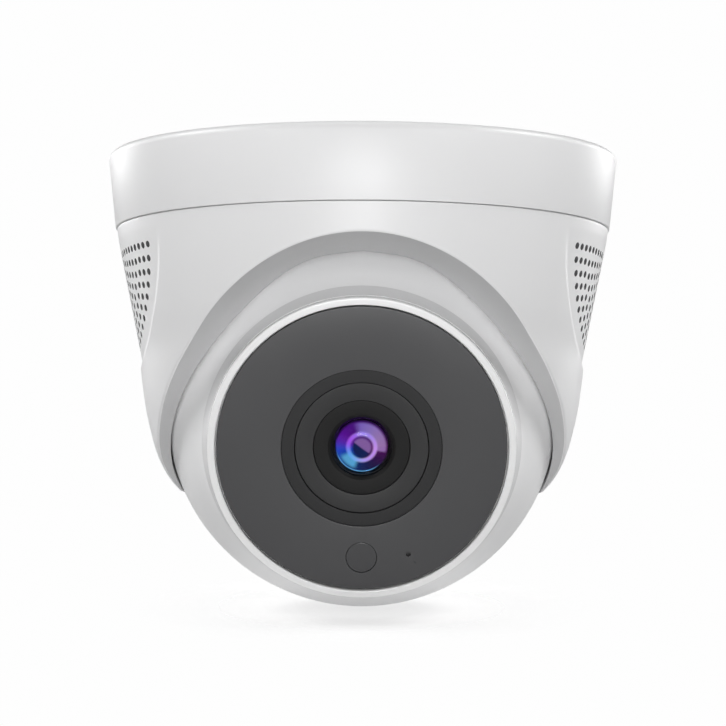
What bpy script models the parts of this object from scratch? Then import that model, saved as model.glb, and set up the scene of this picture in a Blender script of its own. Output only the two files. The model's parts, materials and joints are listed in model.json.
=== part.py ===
"""Ceiling security camera: a base ring, a turning shell with a hooded opening, and an
eyeball camera that tilts and rolls inside it.

Metres, +Z up. The origin is the centre of the ceiling face and the lens looks to -Y.
The eyeball's pieces are modelled along their own axis, with +Z out through the lens, and
hang from an empty that tilts them.
"""

import math

import bmesh
import bpy
from mathutils import Matrix, Vector

MM = 0.001
GAP = 0.3 * MM  # between pieces that touch on the real camera
SPARE = 1.0 * MM  # how far a cutter runs past what it cuts

# Driving sizes
BALL_RADIUS = 35.9 * MM
BALL_HEADROOM = 11.9 * MM  # from the ceiling down to the top of the ball
BALL_TILT = math.radians(19)  # the lens below the horizon at rest
SHELL_FLARE = 5.9 * MM  # how much wider the seam is than the shell at its pivots
BASE_HEIGHT = 13.9 * MM
BASE_DRAFT = math.tan(math.radians(5.3))
FACE_RADIUS = 27.9 * MM  # bright ring round the front panel

# Facets round a full turn, and steps along a curve
LARGE, MEDIUM, SMALL, TINY = 40, 24, 12, 8
BALL_STEPS, ROOM_STEPS, INNER_STEPS, YOKE_STEPS = 7, 18, 5, 8
FILLET_STEPS, LENS_STEPS, LAMP_STEPS = 3, 5, 3

# Ball, yoke and shell, one inside the other
BALL_WALL = 2.0 * MM
BALL_GAP = 0.4 * MM
YOKE_WALL = 0.8 * MM
YOKE_WIDTH = 7.0 * MM
YOKE_GAP = 0.4 * MM
PIVOT_WALL = 2.3 * MM
SHELL_WALL = 1.8 * MM
BALL_DROP = BALL_HEADROOM + BALL_RADIUS
YOKE_INNER = BALL_RADIUS + BALL_GAP
YOKE_OUTER = YOKE_INNER + YOKE_WALL
PIVOT_ROOM = YOKE_OUTER + YOKE_GAP
PIVOT_RADIUS = PIVOT_ROOM + PIVOT_WALL
PIN_RADIUS = 1.5 * MM
PIN_SKIN = 0.7 * MM  # shell left outside a pin's end
YOKE_END = 2.6 * MM  # arm past its pin

# Base
SEAM_RADIUS = PIVOT_RADIUS + SHELL_FLARE
BASE_RADIUS = SEAM_RADIUS + BASE_HEIGHT * BASE_DRAFT
BASE_WALL = 2.2 * MM
BASE_FILLET = 1.6 * MM
PLATE_THICKNESS = 1.8 * MM
CEILING_HOLE_RADIUS = 2.3 * MM
CEILING_HOLE_PITCH = 26.0 * MM
CEILING_HOLE_ANGLE = math.radians(30)
CABLE_BORE = 3.4 * MM
GROMMET_RADIUS = CABLE_BORE + 2.8 * MM
GROMMET_FLANGE, GROMMET_FLANGE_THICKNESS = 2.3 * MM, 1.5 * MM
GROMMET_NOSE = 2.9 * MM
NOSE_ROOT_WALL, NOSE_TIP_WALL = 2.6 * MM, 1.4 * MM
GROMMET_OFFSET = 16.0 * MM
LEDGE_WIDTH = 5.2 * MM
LEDGE_THICKNESS = 2.0 * MM
SCREW_COUNT = 3
BASE_SCREW_ANGLE = math.radians(60)
SCREW_SHANK = 1.0 * MM
SCREW_HEAD = 1.9 * MM
SCREW_HEAD_HEIGHT = 1.2 * MM
HEAD_SIDE, HEAD_TOP = 0.6, 0.7  # straight side and flat top of a head, as shares
SCREW_SKIN = 0.5 * MM  # material left past a screw's tip

# Turntable between base and shell
FLANGE_RISE = 4.1 * MM  # from the seam up to the flange's top
FLANGE_TOP = FLANGE_RISE - BASE_HEIGHT
FLANGE_THICKNESS = 1.8 * MM
FLANGE_WIDTH = 8.6 * MM
HUB_WALL = 3.7 * MM
TURNTABLE_THICKNESS = 2.0 * MM
TURNTABLE_SKIRT = 4.5 * MM
SKIRT_WALL = 3.3 * MM
PAN_SCREW_ANGLE = math.radians(90)
RETAINER_THICKNESS = 1.6 * MM
RETAINER_OVERLAP = 4.5 * MM

# Shell
SEAM_GAP = 0.3 * MM
SHELL_TOP = -BASE_HEIGHT - SEAM_GAP
FLANK = ((0, 0), (0.17, 0.15), (0.32, 0.26), (0.5, 0.52), (0.75, 0.8), (1, 1))
BOWL_DRAFT = 0.22
BOWL_ROUND = 2.95 * MM
BOWL_POWER = 3.6
BOWL_SHARES = (0.3, 0.5, 0.65, 0.8, 0.9, 1)
RIM_DROP = 14.5 * MM  # rim below the middle of the ball
RIM_Z = -BALL_DROP - RIM_DROP
HOOD_TOP = 0.786  # lip heights from the ball's middle, as shares of its radius
HOOD_BOTTOM = -0.616
HOOD_POWER = 2.36
LIP_SLOPE_TOP = 0.06  # fall of the hood's inner face towards the ball
LIP_SLOPE_SIDE = -0.19
LIP_SLOPE_FROM, LIP_SLOPE_TO = math.radians(4), math.radians(38)
LIP_SKIN = 2.6 * MM
LIP_REACH = 6.0 * MM
THROAT_RADIUS = BALL_RADIUS / 2
PIVOT_POCKET = 4.6 * MM  # straight inner wall beside each pin, up and down
SCOOP_RADIUS = 25.8 * MM
SCOOP_DEPTH = 0.55 * MM
SCOOP_FADE = 0.15 * MM  # the floor leaves the flank before it reaches the seam
SPEAKER_RADIUS = 8.0 * MM
SPEAKER_DEPTH = 3.6 * MM
SPEAKER_DROP = 11.0 * MM  # speaker's middle below the shell's top
GRILLE_DROP = 3.0 * MM
GRILLE_MESH = 0.4 * MM
GRILLE_HEIGHT = 18.0 * MM
GRILLE_SPAN = math.radians(58)

# Eyeball casing, along the lens axis
COLLAR_HEIGHT = 7.0 * MM
COLLAR_DRAFT = 1.5 * MM
COLLAR_WALL = 2.0 * MM
RING_WIDTH = 1.4 * MM
RING_HEIGHT = 1.9 * MM
RING_EDGE = 0.3 * MM
PANEL_THICKNESS = 1.4 * MM
PANEL_SET_BACK = 0.4 * MM
PARTING_Z = -1.0 * MM
PARTING_LIP = 3.0 * MM
PARTING_LIP_WALL = 1.4 * MM
REAR_FLAT = 30.0 / 35.9  # flat back of the ball, as a share of its radius
COLLAR_ROOT_RADIUS = FACE_RADIUS + COLLAR_DRAFT
COLLAR_ROOT_Z = math.sqrt(BALL_RADIUS**2 - COLLAR_ROOT_RADIUS**2)
FACE_Z = COLLAR_ROOT_Z + COLLAR_HEIGHT
COLLAR_TOP = FACE_Z - RING_HEIGHT - GAP
PANEL_RADIUS = FACE_RADIUS - RING_WIDTH - GAP
PANEL_FRONT = FACE_Z - PANEL_SET_BACK
REAR_Z = -REAR_FLAT * BALL_RADIUS

# Lens rings, each round the one before
LENS_RADIUS = 5.2 * MM
LENS_CROWN = 1.2 * MM
HOOD_INNER = LENS_RADIUS + GAP
HOOD_OUTER = HOOD_INNER + 3.2 * MM
FOCUS_INNER = HOOD_OUTER + GAP
FOCUS_OUTER = FOCUS_INNER + 2.85 * MM
SHROUD_INNER = FOCUS_OUTER + GAP
SHROUD_OUTER = SHROUD_INNER + 2.35 * MM
FACE_MIDDLE = (SHROUD_OUTER + PANEL_RADIUS) / 2

# Lens, as depths behind the face
SHROUD_TOP = FACE_Z - 0.6 * MM
FOCUS_TOP = FACE_Z - 0.8 * MM
FOCUS_LOW = FOCUS_TOP - 9.7 * MM
HOOD_FRONT = FACE_Z - 1.1 * MM
HOOD_LOW = HOOD_FRONT - 1.7 * MM
HOOD_EDGE = 1.2 * MM
BARREL_TOP = HOOD_LOW - GAP
LENS_EDGE = HOOD_LOW + 0.6 * MM
LENS_SEAT = LENS_EDGE - 3.3 * MM
BARREL_SHOULDER = LENS_SEAT - 4.8 * MM
BARREL_LOW = BARREL_SHOULDER - 5.3 * MM
BARREL_HEAD = HOOD_OUTER - 0.2 * MM
BARREL_THREAD = LENS_RADIUS + 0.8 * MM
BARREL_BORE = LENS_RADIUS - 0.6 * MM
REAR_LENS_RISE = 2.4 * MM
REAR_LENS_HALF, REAR_LENS_EDGE = 1.2 * MM, 0.4 * MM
HOLDER_SIDE, HOLDER_FOOT = 18.0 * MM, 3.0 * MM
HOLDER_NECK = BARREL_THREAD + GAP + 1.9 * MM
NECK_TOP = BARREL_SHOULDER - 0.6 * MM
SENSOR_SIDE, SENSOR_THICKNESS = 8.6 * MM, 0.9 * MM
SENSOR_ROOM = 0.9 * MM
FILTER_SIDE, FILTER_THICKNESS = math.sqrt(2) * (BARREL_THREAD - 0.35 * MM), 0.6 * MM

# Electronics, as depths behind the face
LED_BOARD_FRONT = 7.9 * MM
LED_BOARD_THICKNESS = 1.2 * MM
LED_BOARD_ROOM = 0.45 * MM
LED_RADIUS = 2.5 * MM
LED_HEIGHT = 5.4 * MM
LED_COUNT = 6
LED_FIRST, LED_STEP = math.radians(-30), math.radians(48)
WINDOW_RADIUS = 2.8 * MM
LIGHT_SENSOR_HEIGHT = 4.6 * MM
MIC_HOLE_RADIUS = 0.45 * MM
MIC_RADIUS, MIC_HEIGHT = 2.0 * MM, 4.0 * MM
MIC_OUTSET, MIC_ANGLE = 1.1 * MM, math.radians(-66.7)
SENSOR_BOARD_FRONT = 19.3 * MM
SENSOR_BOARD_SIDE = 38.0 * MM
MAIN_BOARD_FRONT = 35.5 * MM
MAIN_BOARD_SIDE = 42.0 * MM
BOARD_THICKNESS = 1.4 * MM
POST_RADIUS, POST_BORE = 2.2 * MM, 1.2 * MM
POST_PLACE = (FACE_RADIUS - 5.8 * MM) / math.sqrt(2)  # across and up, for each post
BOARD_SCREW_LENGTH = 5.0 * MM
CHIP_SIDE, CHIP_THICKNESS = 13.0 * MM, 1.4 * MM
FIN_COUNT, FIN_THICKNESS, FIN_HEIGHT = 5, 1.2 * MM, 4.6 * MM
SINK_SIDE, SINK_BASE = 16.0 * MM, 1.4 * MM
RADIO_SIZE, RADIO_Y = (11.0 * MM, 9.0 * MM, 2.4 * MM), -14.0 * MM
AERIAL_SIZE, AERIAL_GAP = (24.0 * MM, 0.8 * MM), 2.0 * MM
AERIAL_AHEAD, AERIAL_BEHIND = 3.7 * MM, 3.3 * MM
PLUG_SIZE, PLUG_Y = (9.0 * MM, 5.0 * MM, 5.0 * MM), 14.5 * MM
CARD_SIZE = (14.0 * MM, 15.0 * MM, 1.8 * MM)

# Roll hub at the back of the ball
HUB_INNER = 4.0 * MM
HUB_OUTER = HUB_INNER + 1.6 * MM
HUB_FLANGE, HUB_FLANGE_THICKNESS = HUB_OUTER + 2.4 * MM, 1.2 * MM
ROLL_PLATE_RADIUS = HUB_OUTER + 3.4 * MM
WASHER_RADIUS, WASHER_THICKNESS = HUB_OUTER + 2.9 * MM, 0.6 * MM
NUT_RADIUS, NUT_THICKNESS, NUT_SIDES = HUB_OUTER + 2.6 * MM, 1.8 * MM, 6

BALL_CENTRE = Vector((0, 0, -BALL_DROP))


def clear_scene():
    for obj in list(bpy.data.objects):
        bpy.data.objects.remove(obj)


def new_collection(name, hidden=False):
    collection = bpy.data.collections.new(name)
    collection.hide_render = hidden
    bpy.context.scene.collection.children.link(collection)
    return collection


clear_scene()
PARTS = new_collection("security_camera")
CUTTERS = new_collection("cutters", hidden=True)


def finish(name, color, roughness, metallic=0.0):
    """A Principled material, one for each finish."""
    material = bpy.data.materials.new(name)
    material.use_nodes = True
    shader = material.node_tree.nodes["Principled BSDF"]
    shader.inputs["Base Color"].default_value = (*color, 1)
    shader.inputs["Roughness"].default_value = roughness
    shader.inputs["Metallic"].default_value = metallic
    return material


WHITE = finish("white_abs", (0.83, 0.83, 0.83), 0.45)
BRIGHT = finish("bright_ring", (0.9, 0.9, 0.9), 0.3)
PANEL = finish("dark_panel", (0.085, 0.085, 0.087), 0.35)
BLACK = finish("black_plastic", (0.025, 0.025, 0.026), 0.5)
NYLON = finish("inner_nylon", (0.55, 0.55, 0.55), 0.55)
STEEL = finish("plated_steel", (0.6, 0.6, 0.6), 0.35, 1.0)
BRASS = finish("brass", (0.7, 0.55, 0.25), 0.35, 1.0)
ALUMINIUM = finish("aluminium", (0.7, 0.7, 0.72), 0.4, 1.0)
BOARD = finish("circuit_board", (0.02, 0.12, 0.05), 0.5)
CHIP = finish("chip_black", (0.02, 0.02, 0.02), 0.4)
RUBBER = finish("rubber", (0.03, 0.03, 0.03), 0.8)
GLASS = finish("lens_glass", (0.05, 0.03, 0.12), 0.05)
FABRIC = finish("dust_mesh", (0.03, 0.03, 0.03), 0.9)


def place(obj, material, parent=None):
    """Puts a finished piece in the camera's collection, or a cutter among the cutters."""
    if material is None:
        CUTTERS.objects.link(obj)
        obj.hide_render = True
        obj.display_type = "WIRE"
    else:
        PARTS.objects.link(obj)
        obj.data.materials.append(material)
    obj.parent = parent
    return obj


def turned(name, profile, segments, material=None, parent=None, centre=(0, 0, 0),
           loop=True):
    """A turned piece. Its profile, in (radius, height), runs down the outer side."""
    mesh = bpy.data.meshes.new(name)
    count = len(profile)
    edges = [(i, i + 1) for i in range(count - 1)]
    if loop:
        edges.append((count - 1, 0))
    mesh.from_pydata([(radius, 0, z) for radius, z in profile], edges, [])
    obj = bpy.data.objects.new(name, mesh)
    obj.location = centre
    place(obj, material, parent)
    screw = obj.modifiers.new("turn", "SCREW")
    screw.steps = screw.render_steps = segments
    screw.use_merge_vertices = True
    screw.merge_threshold = 0.00001
    screw.use_smooth_shade = False
    return obj


def solid(name, profile, segments, material=None, parent=None, centre=(0, 0, 0)):
    """A turned piece that is solid to its axis: the profile starts and ends there."""
    return turned(name, profile, segments, material, parent, centre, loop=False)


def meshed(name, shape, material=None, parent=None, centre=(0, 0, 0)):
    """An object from a bmesh, with its faces pointing out."""
    bmesh.ops.recalc_face_normals(shape, faces=shape.faces)
    mesh = bpy.data.meshes.new(name)
    shape.to_mesh(mesh)
    shape.free()
    obj = bpy.data.objects.new(name, mesh)
    obj.location = centre
    return place(obj, material, parent)


def box(name, low, high, material=None, parent=None):
    """A box between two corners."""
    shape = bmesh.new()
    size = Vector(high) - Vector(low)
    middle = (Vector(high) + Vector(low)) / 2
    bmesh.ops.create_cube(shape, size=1)
    bmesh.ops.transform(shape, matrix=Matrix.Diagonal((*size, 1)), verts=shape.verts)
    return meshed(name, shape, material, parent, middle)


def rod(name, radius, low, high, segments, place_xy=(0, 0), material=None, parent=None):
    """A cylinder along +Z between two heights."""
    shape = bmesh.new()
    bmesh.ops.create_cone(shape, cap_ends=True, segments=segments, radius1=radius,
                          radius2=radius, depth=high - low)
    return meshed(name, shape, material, parent, (*place_xy, (low + high) / 2))


def cross_rod(name, radius, low, high, segments, height, material=None):
    """A cylinder along +X between two places, at a height."""
    obj = rod(name, radius, -(high - low) / 2, (high - low) / 2, segments, (0, 0), material)
    obj.data.transform(Matrix.Rotation(math.pi / 2, 4, "Y"))
    obj.location = ((low + high) / 2, 0, height)
    return obj


def prism(name, outline, depth, material, parent=None, centre=(0, 0, 0)):
    """An outline in X and Z, extruded evenly to both sides along Y."""
    shape = bmesh.new()
    corners = [shape.verts.new((x, -depth / 2, z)) for x, z in outline]
    face = shape.faces.new(corners)
    grown = bmesh.ops.extrude_face_region(shape, geom=[face])["geom"]
    moved = [part for part in grown if isinstance(part, bmesh.types.BMVert)]
    bmesh.ops.translate(shape, vec=(0, depth, 0), verts=moved)
    return meshed(name, shape, material, parent, centre)


def combine(obj, other, operation="DIFFERENCE"):
    modifier = obj.modifiers.new(other.name, "BOOLEAN")
    modifier.operation = operation
    modifier.solver = "EXACT"
    modifier.object = other
    return obj


def arc(radius, z_from, z_to, steps):
    """Points on a sphere's outline between two heights, as (radius, height)."""
    first, last = math.asin(z_from / radius), math.asin(z_to / radius)
    angles = [first + (last - first) * i / steps for i in range(steps + 1)]
    return [(radius * math.cos(angle), radius * math.sin(angle)) for angle in angles]


def fillet(centre_radius, centre_z, radius, start, end):
    """Points on a small round, from one angle to another."""
    angles = [start + (end - start) * i / FILLET_STEPS for i in range(FILLET_STEPS + 1)]
    return [(centre_radius + radius * math.cos(a), centre_z + radius * math.sin(a))
            for a in angles]


def around(count, first=0.0, step=None):
    """Evenly spaced angles."""
    step = math.tau / count if step is None else step
    return [first + i * step for i in range(count)]


def polar(radius, angle):
    return radius * math.cos(angle), radius * math.sin(angle)


def screw_piece(name, tip_z, head_z, place_xy, material=STEEL, parent=None, shank=SCREW_SHANK):
    """A pan-head screw whose shank runs from its head to its tip."""
    down = 1 if tip_z > head_z else -1
    rim = head_z - down * SCREW_HEAD_HEIGHT
    profile = [(0, tip_z), (shank, tip_z), (shank, head_z), (SCREW_HEAD, head_z),
               (SCREW_HEAD, head_z - down * SCREW_HEAD_HEIGHT * HEAD_SIDE),
               (SCREW_HEAD * HEAD_TOP, rim), (0, rim)]
    if down < 0:
        profile.reverse()
    return solid(name, profile, TINY, material, parent, (*place_xy, 0))


# Base


def base_outer(z):
    return BASE_RADIUS + z * BASE_DRAFT


def base_inner(z):
    return base_outer(z) - BASE_WALL


PLATE_RADIUS = base_inner(-PLATE_THICKNESS) - GAP
LEDGE_TOP = -PLATE_THICKNESS - GAP
LEDGE_BOTTOM = LEDGE_TOP - LEDGE_THICKNESS
LEDGE_INNER = base_inner(LEDGE_BOTTOM) - LEDGE_WIDTH
BASE_SCREW_PITCH = LEDGE_INNER + LEDGE_WIDTH / 2
FLANGE_BOTTOM = FLANGE_TOP - FLANGE_THICKNESS
FLANGE_INNER = base_inner(FLANGE_TOP) - FLANGE_WIDTH


def build_base_ring():
    """The tapered white ring, with a ledge for the plate and a flange to turn on."""
    top = fillet(BASE_RADIUS - BASE_FILLET, -BASE_FILLET, BASE_FILLET, math.pi / 2, 0)
    profile = top + [
        (SEAM_RADIUS, -BASE_HEIGHT),
        (base_inner(-BASE_HEIGHT), -BASE_HEIGHT),
        (base_inner(FLANGE_BOTTOM), FLANGE_BOTTOM),
        (FLANGE_INNER, FLANGE_BOTTOM),
        (FLANGE_INNER, FLANGE_TOP),
        (base_inner(FLANGE_TOP), FLANGE_TOP),
        (base_inner(LEDGE_BOTTOM), LEDGE_BOTTOM),
        (LEDGE_INNER, LEDGE_BOTTOM),
        (LEDGE_INNER, LEDGE_TOP),
        (base_inner(LEDGE_TOP), LEDGE_TOP),
        (base_inner(0), 0),
    ]
    ring = turned("base_ring", profile, LARGE, WHITE)
    for number, angle in enumerate(around(SCREW_COUNT, BASE_SCREW_ANGLE), 1):
        hole = rod(f"ledge_hole_{number}", SCREW_SHANK + GAP, LEDGE_BOTTOM - GAP,
                   LEDGE_TOP + GAP, TINY, polar(BASE_SCREW_PITCH, angle))
        combine(ring, hole)


def build_mounting_plate():
    """The plate that screws to the ceiling. The base ring is screwed up into it."""
    plate = rod("mounting_plate", PLATE_RADIUS, -PLATE_THICKNESS, 0, LARGE, material=STEEL)
    below = -PLATE_THICKNESS - SPARE
    for number, angle in enumerate(around(SCREW_COUNT, CEILING_HOLE_ANGLE), 1):
        hole = rod(f"ceiling_hole_{number}", CEILING_HOLE_RADIUS, below, SPARE, SMALL,
                   polar(CEILING_HOLE_PITCH, angle))
        combine(plate, hole)
    for number, angle in enumerate(around(SCREW_COUNT, BASE_SCREW_ANGLE), 1):
        hole = rod(f"tapped_hole_{number}", SCREW_SHANK + GAP, below, -SCREW_SKIN, TINY,
                   polar(BASE_SCREW_PITCH, angle))
        combine(plate, hole)
        screw_piece(f"base_screw_{number}", -SCREW_SKIN - GAP, LEDGE_BOTTOM - GAP,
                    polar(BASE_SCREW_PITCH, angle))
    inlet = rod("cable_hole", GROMMET_RADIUS + GAP, below, SPARE, SMALL, (0, GROMMET_OFFSET))
    combine(plate, inlet)


def build_cable_grommet():
    """A rubber sleeve for the lead, with a flange under the plate and a short nose."""
    flange_top = -PLATE_THICKNESS - GAP
    flange_bottom = flange_top - GROMMET_FLANGE_THICKNESS
    nose = flange_bottom - GROMMET_NOSE
    profile = [
        (GROMMET_RADIUS, -GAP),
        (GROMMET_RADIUS, flange_top),
        (GROMMET_RADIUS + GROMMET_FLANGE, flange_top),
        (GROMMET_RADIUS + GROMMET_FLANGE, flange_bottom),
        (CABLE_BORE + NOSE_ROOT_WALL, flange_bottom),
        (CABLE_BORE + NOSE_TIP_WALL, nose),
        (CABLE_BORE, nose),
        (CABLE_BORE, -GAP),
    ]
    turned("cable_grommet", profile, SMALL, RUBBER, centre=(0, GROMMET_OFFSET, 0))


# Turntable

HUB_RADIUS = FLANGE_INNER - GAP
HUB_BORE = HUB_RADIUS - HUB_WALL
HUB_TOP = FLANGE_TOP + GAP
TURNTABLE_TOP = FLANGE_BOTTOM - GAP
TURNTABLE_BOTTOM = TURNTABLE_TOP - TURNTABLE_THICKNESS
SKIRT_BOTTOM = TURNTABLE_TOP - TURNTABLE_SKIRT
PAN_SCREW_PITCH = (HUB_RADIUS + HUB_BORE) / 2


def build_turntable():
    """The ring that the shell snaps onto, its retainer above the flange, and the screws."""
    skirt_outer = base_inner(-BASE_HEIGHT) - GAP
    skirt_low = shell_outer(SKIRT_BOTTOM) - SHELL_WALL - GAP
    profile = [
        (skirt_outer, TURNTABLE_TOP),
        (skirt_outer, -BASE_HEIGHT),
        (skirt_low, SHELL_TOP),
        (skirt_low, SKIRT_BOTTOM),
        (skirt_low - SKIRT_WALL, SKIRT_BOTTOM),
        (skirt_low - SKIRT_WALL, TURNTABLE_BOTTOM),
        (HUB_BORE, TURNTABLE_BOTTOM),
        (HUB_BORE, HUB_TOP),
        (HUB_RADIUS, HUB_TOP),
        (HUB_RADIUS, TURNTABLE_TOP),
    ]
    turntable = turned("pan_turntable", profile, LARGE, NYLON)
    retainer_bottom = HUB_TOP + GAP
    retainer_top = retainer_bottom + RETAINER_THICKNESS
    outer = HUB_RADIUS + RETAINER_OVERLAP
    retainer = turned("pan_retainer", [(outer, retainer_top), (outer, retainer_bottom),
                                       (HUB_BORE, retainer_bottom), (HUB_BORE, retainer_top)],
                      MEDIUM, NYLON)
    tip = TURNTABLE_BOTTOM + SCREW_SKIN + GAP
    for number, angle in enumerate(around(SCREW_COUNT, PAN_SCREW_ANGLE), 1):
        spot = polar(PAN_SCREW_PITCH, angle)
        hole = rod(f"pan_hole_{number}", SCREW_SHANK + GAP, TURNTABLE_BOTTOM + SCREW_SKIN,
                   retainer_top + GAP, TINY, spot)
        combine(turntable, hole)
        combine(retainer, hole)
        screw_piece(f"pan_screw_{number}", tip, retainer_top + GAP, spot)


# Shell


def shell_outer(z):
    """The shell's radius at a height: a tapered flank, and a bowl under the pivots."""
    rise = z + BALL_DROP
    if rise < 0:
        drop = -rise
        return PIVOT_RADIUS - BOWL_DRAFT * drop - BOWL_ROUND * (drop / RIM_DROP) ** BOWL_POWER
    share = min(rise / (SHELL_TOP + BALL_DROP), 1)
    span = SEAM_RADIUS - SEAM_GAP - PIVOT_RADIUS
    for (low, radius_low), (high, radius_high) in zip(FLANK, FLANK[1:]):
        if share <= high:
            part = (share - low) / (high - low)
            return PIVOT_RADIUS + span * (radius_low + (radius_high - radius_low) * part)
    return PIVOT_RADIUS + span


def shell_heights():
    """Heights down the outer face: one at each turn of the flank, then closer in the bowl."""
    rise = SHELL_TOP + BALL_DROP
    flank = [share * rise - BALL_DROP for share, _ in reversed(FLANK)]
    bowl = [-BALL_DROP - RIM_DROP * share for share in BOWL_SHARES]
    return flank + bowl


def build_inner_space():
    """The hollow of the shell above the hood, open at the seam."""
    wall_ends = -BALL_DROP + 2 * PIVOT_POCKET
    heights = [z for z in shell_heights() if z > wall_ends]
    profile = [(0, 0), (shell_outer(SHELL_TOP) - SHELL_WALL, 0)]
    profile += [(shell_outer(z) - SHELL_WALL, z) for z in heights]
    profile += [
        (PIVOT_ROOM, -BALL_DROP + PIVOT_POCKET),
        (PIVOT_ROOM, -BALL_DROP - PIVOT_POCKET),
        (0, -BALL_DROP - PIVOT_POCKET),
    ]
    return solid("inner_space", profile, LARGE)


def smooth(value, low, high):
    share = min(max((value - low) / (high - low), 0), 1)
    return share * share * (3 - 2 * share)


def lip_ring(reach, azimuth):
    """A point on the hood's inner face, a reach outside the shell's edge or, if less, in it."""
    share = ((1 + math.cos(azimuth)) / 2) ** HOOD_POWER
    z = BALL_RADIUS * (HOOD_BOTTOM + (HOOD_TOP - HOOD_BOTTOM) * share) - BALL_DROP
    blend = smooth(abs(azimuth), LIP_SLOPE_FROM, LIP_SLOPE_TO)
    slope = LIP_SLOPE_TOP + (LIP_SLOPE_SIDE - LIP_SLOPE_TOP) * blend
    edge = shell_outer(max(z, RIM_Z))
    radius = THROAT_RADIUS if reach is None else edge + reach
    return Vector((radius * math.sin(azimuth), -radius * math.cos(azimuth),
                   z + slope * (radius - edge)))


def hood_cutter(name, lift):
    """Everything under the hood's inner face, as one closed shape."""
    shape = bmesh.new()
    azimuths = around(LARGE, math.pi / LARGE - math.pi)
    floor = RIM_Z - BALL_RADIUS
    inner = [shape.verts.new(lip_ring(None, a) + Vector((0, 0, lift))) for a in azimuths]
    outer = [shape.verts.new(lip_ring(LIP_REACH, a) + Vector((0, 0, lift))) for a in azimuths]
    below = [shape.verts.new((vert.co.x, vert.co.y, floor)) for vert in outer]
    hub = shape.verts.new(BALL_CENTRE + Vector((0, 0, lift)))
    for i in range(LARGE):
        j = (i + 1) % LARGE
        shape.faces.new((hub, inner[i], inner[j]))
        shape.faces.new((inner[i], outer[i], outer[j], inner[j]))
        shape.faces.new((outer[i], below[i], below[j], outer[j]))
    shape.faces.new(below)
    bmesh.ops.triangulate(shape, faces=shape.faces)
    return meshed(name, shape)


def scoop_floor(z):
    """Radius of the recess floor: a straight cone, deepest halfway down."""
    low = SHELL_TOP - SCOOP_RADIUS
    top, bottom = shell_outer(SHELL_TOP) + SCOOP_FADE, shell_outer(low) - SCOOP_DEPTH
    return top + (bottom - top) * (z - SHELL_TOP) / (low - SHELL_TOP)


def build_scoop_cutter():
    """Takes a shallow half-round recess from each side of the shell."""
    reach = BASE_RADIUS + SCOOP_RADIUS
    above, under = SHELL_TOP + SCOOP_RADIUS + SPARE, SHELL_TOP - SCOOP_RADIUS - SPARE
    core = solid("scoop_core", [(0, above), (scoop_floor(above), above),
                                (scoop_floor(under), under), (0, under)], LARGE)
    scoops = cross_rod("scoops", SCOOP_RADIUS, -reach, reach, LARGE, SHELL_TOP)
    scoops.data.transform(Matrix.Rotation(math.pi / LARGE, 4, "X"))
    return combine(scoops, core)


def build_shell():
    """The white shell: tapered sides, a hood over the ball and a bowl round its back."""
    heights = shell_heights()
    profile = [(0, SHELL_TOP)] + [(shell_outer(z), z) for z in heights] + [(0, RIM_Z)]
    shell = solid("shell", profile, LARGE, WHITE)
    inner = combine(build_inner_space(), hood_cutter("hood_skin", LIP_SKIN))
    combine(shell, inner)
    room = solid("ball_room", arc(YOKE_INNER, YOKE_INNER, -YOKE_INNER, ROOM_STEPS), LARGE,
                 centre=BALL_CENTRE)
    combine(shell, room)
    combine(shell, hood_cutter("hood_opening", 0))
    combine(shell, build_scoop_cutter())
    pin_end = PIVOT_RADIUS - PIN_SKIN
    for side, sign in (("left", -1), ("right", 1)):
        ends = sorted((sign * (YOKE_INNER - GAP), sign * pin_end))
        socket = cross_rod(f"{side}_pin_socket", PIN_RADIUS + GAP, *ends, SMALL, -BALL_DROP)
        combine(shell, socket)
        ends = sorted((sign * (YOKE_INNER - GAP / 2), sign * (pin_end - GAP)))
        cross_rod(f"{side}_tilt_pin", PIN_RADIUS, *ends, SMALL, -BALL_DROP, STEEL)


def build_grille_meshes():
    """Black dust cloth against the shell's inner wall, behind each grille."""
    top = SHELL_TOP - GRILLE_DROP
    heights = [top - GRILLE_HEIGHT * share for share in (0, 0.5, 1)]
    outside = [(shell_outer(z) - SHELL_WALL - GAP, z) for z in heights]
    inside = [(radius - GRILLE_MESH, z) for radius, z in reversed(outside)]
    for side, turn in (("left", math.pi), ("right", 0)):
        shape = bmesh.new()
        face = shape.faces.new([shape.verts.new((r, 0, z)) for r, z in outside + inside])
        bmesh.ops.spin(shape, geom=[*face.verts, *face.edges, face], cent=(0, 0, 0),
                       axis=(0, 0, 1), angle=GRILLE_SPAN, steps=TINY)
        cloth = meshed(f"{side}_dust_mesh", shape, FABRIC)
        cloth.rotation_euler = (0, 0, turn - GRILLE_SPAN / 2)


def build_speaker():
    """A small round speaker behind the left grille."""
    height = SHELL_TOP - SPEAKER_DROP
    outer = shell_outer(height - SPEAKER_RADIUS) - SHELL_WALL - GRILLE_MESH - 2 * GAP
    face = math.sqrt(outer**2 - SPEAKER_RADIUS**2) - GAP
    cross_rod("speaker", SPEAKER_RADIUS, -face, SPEAKER_DEPTH - face, MEDIUM, height, BLACK)


# Eyeball

WINDOW_PLACE = (0, -FACE_MIDDLE)
MIC_PLACE = polar(FACE_MIDDLE + MIC_OUTSET, MIC_ANGLE)
TILT_FRAME = bpy.data.objects.new("ball_axis", None)
TILT_FRAME.location = BALL_CENTRE
TILT_FRAME.rotation_euler = (math.pi / 2 + BALL_TILT, 0, 0)
PARTS.objects.link(TILT_FRAME)


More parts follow.
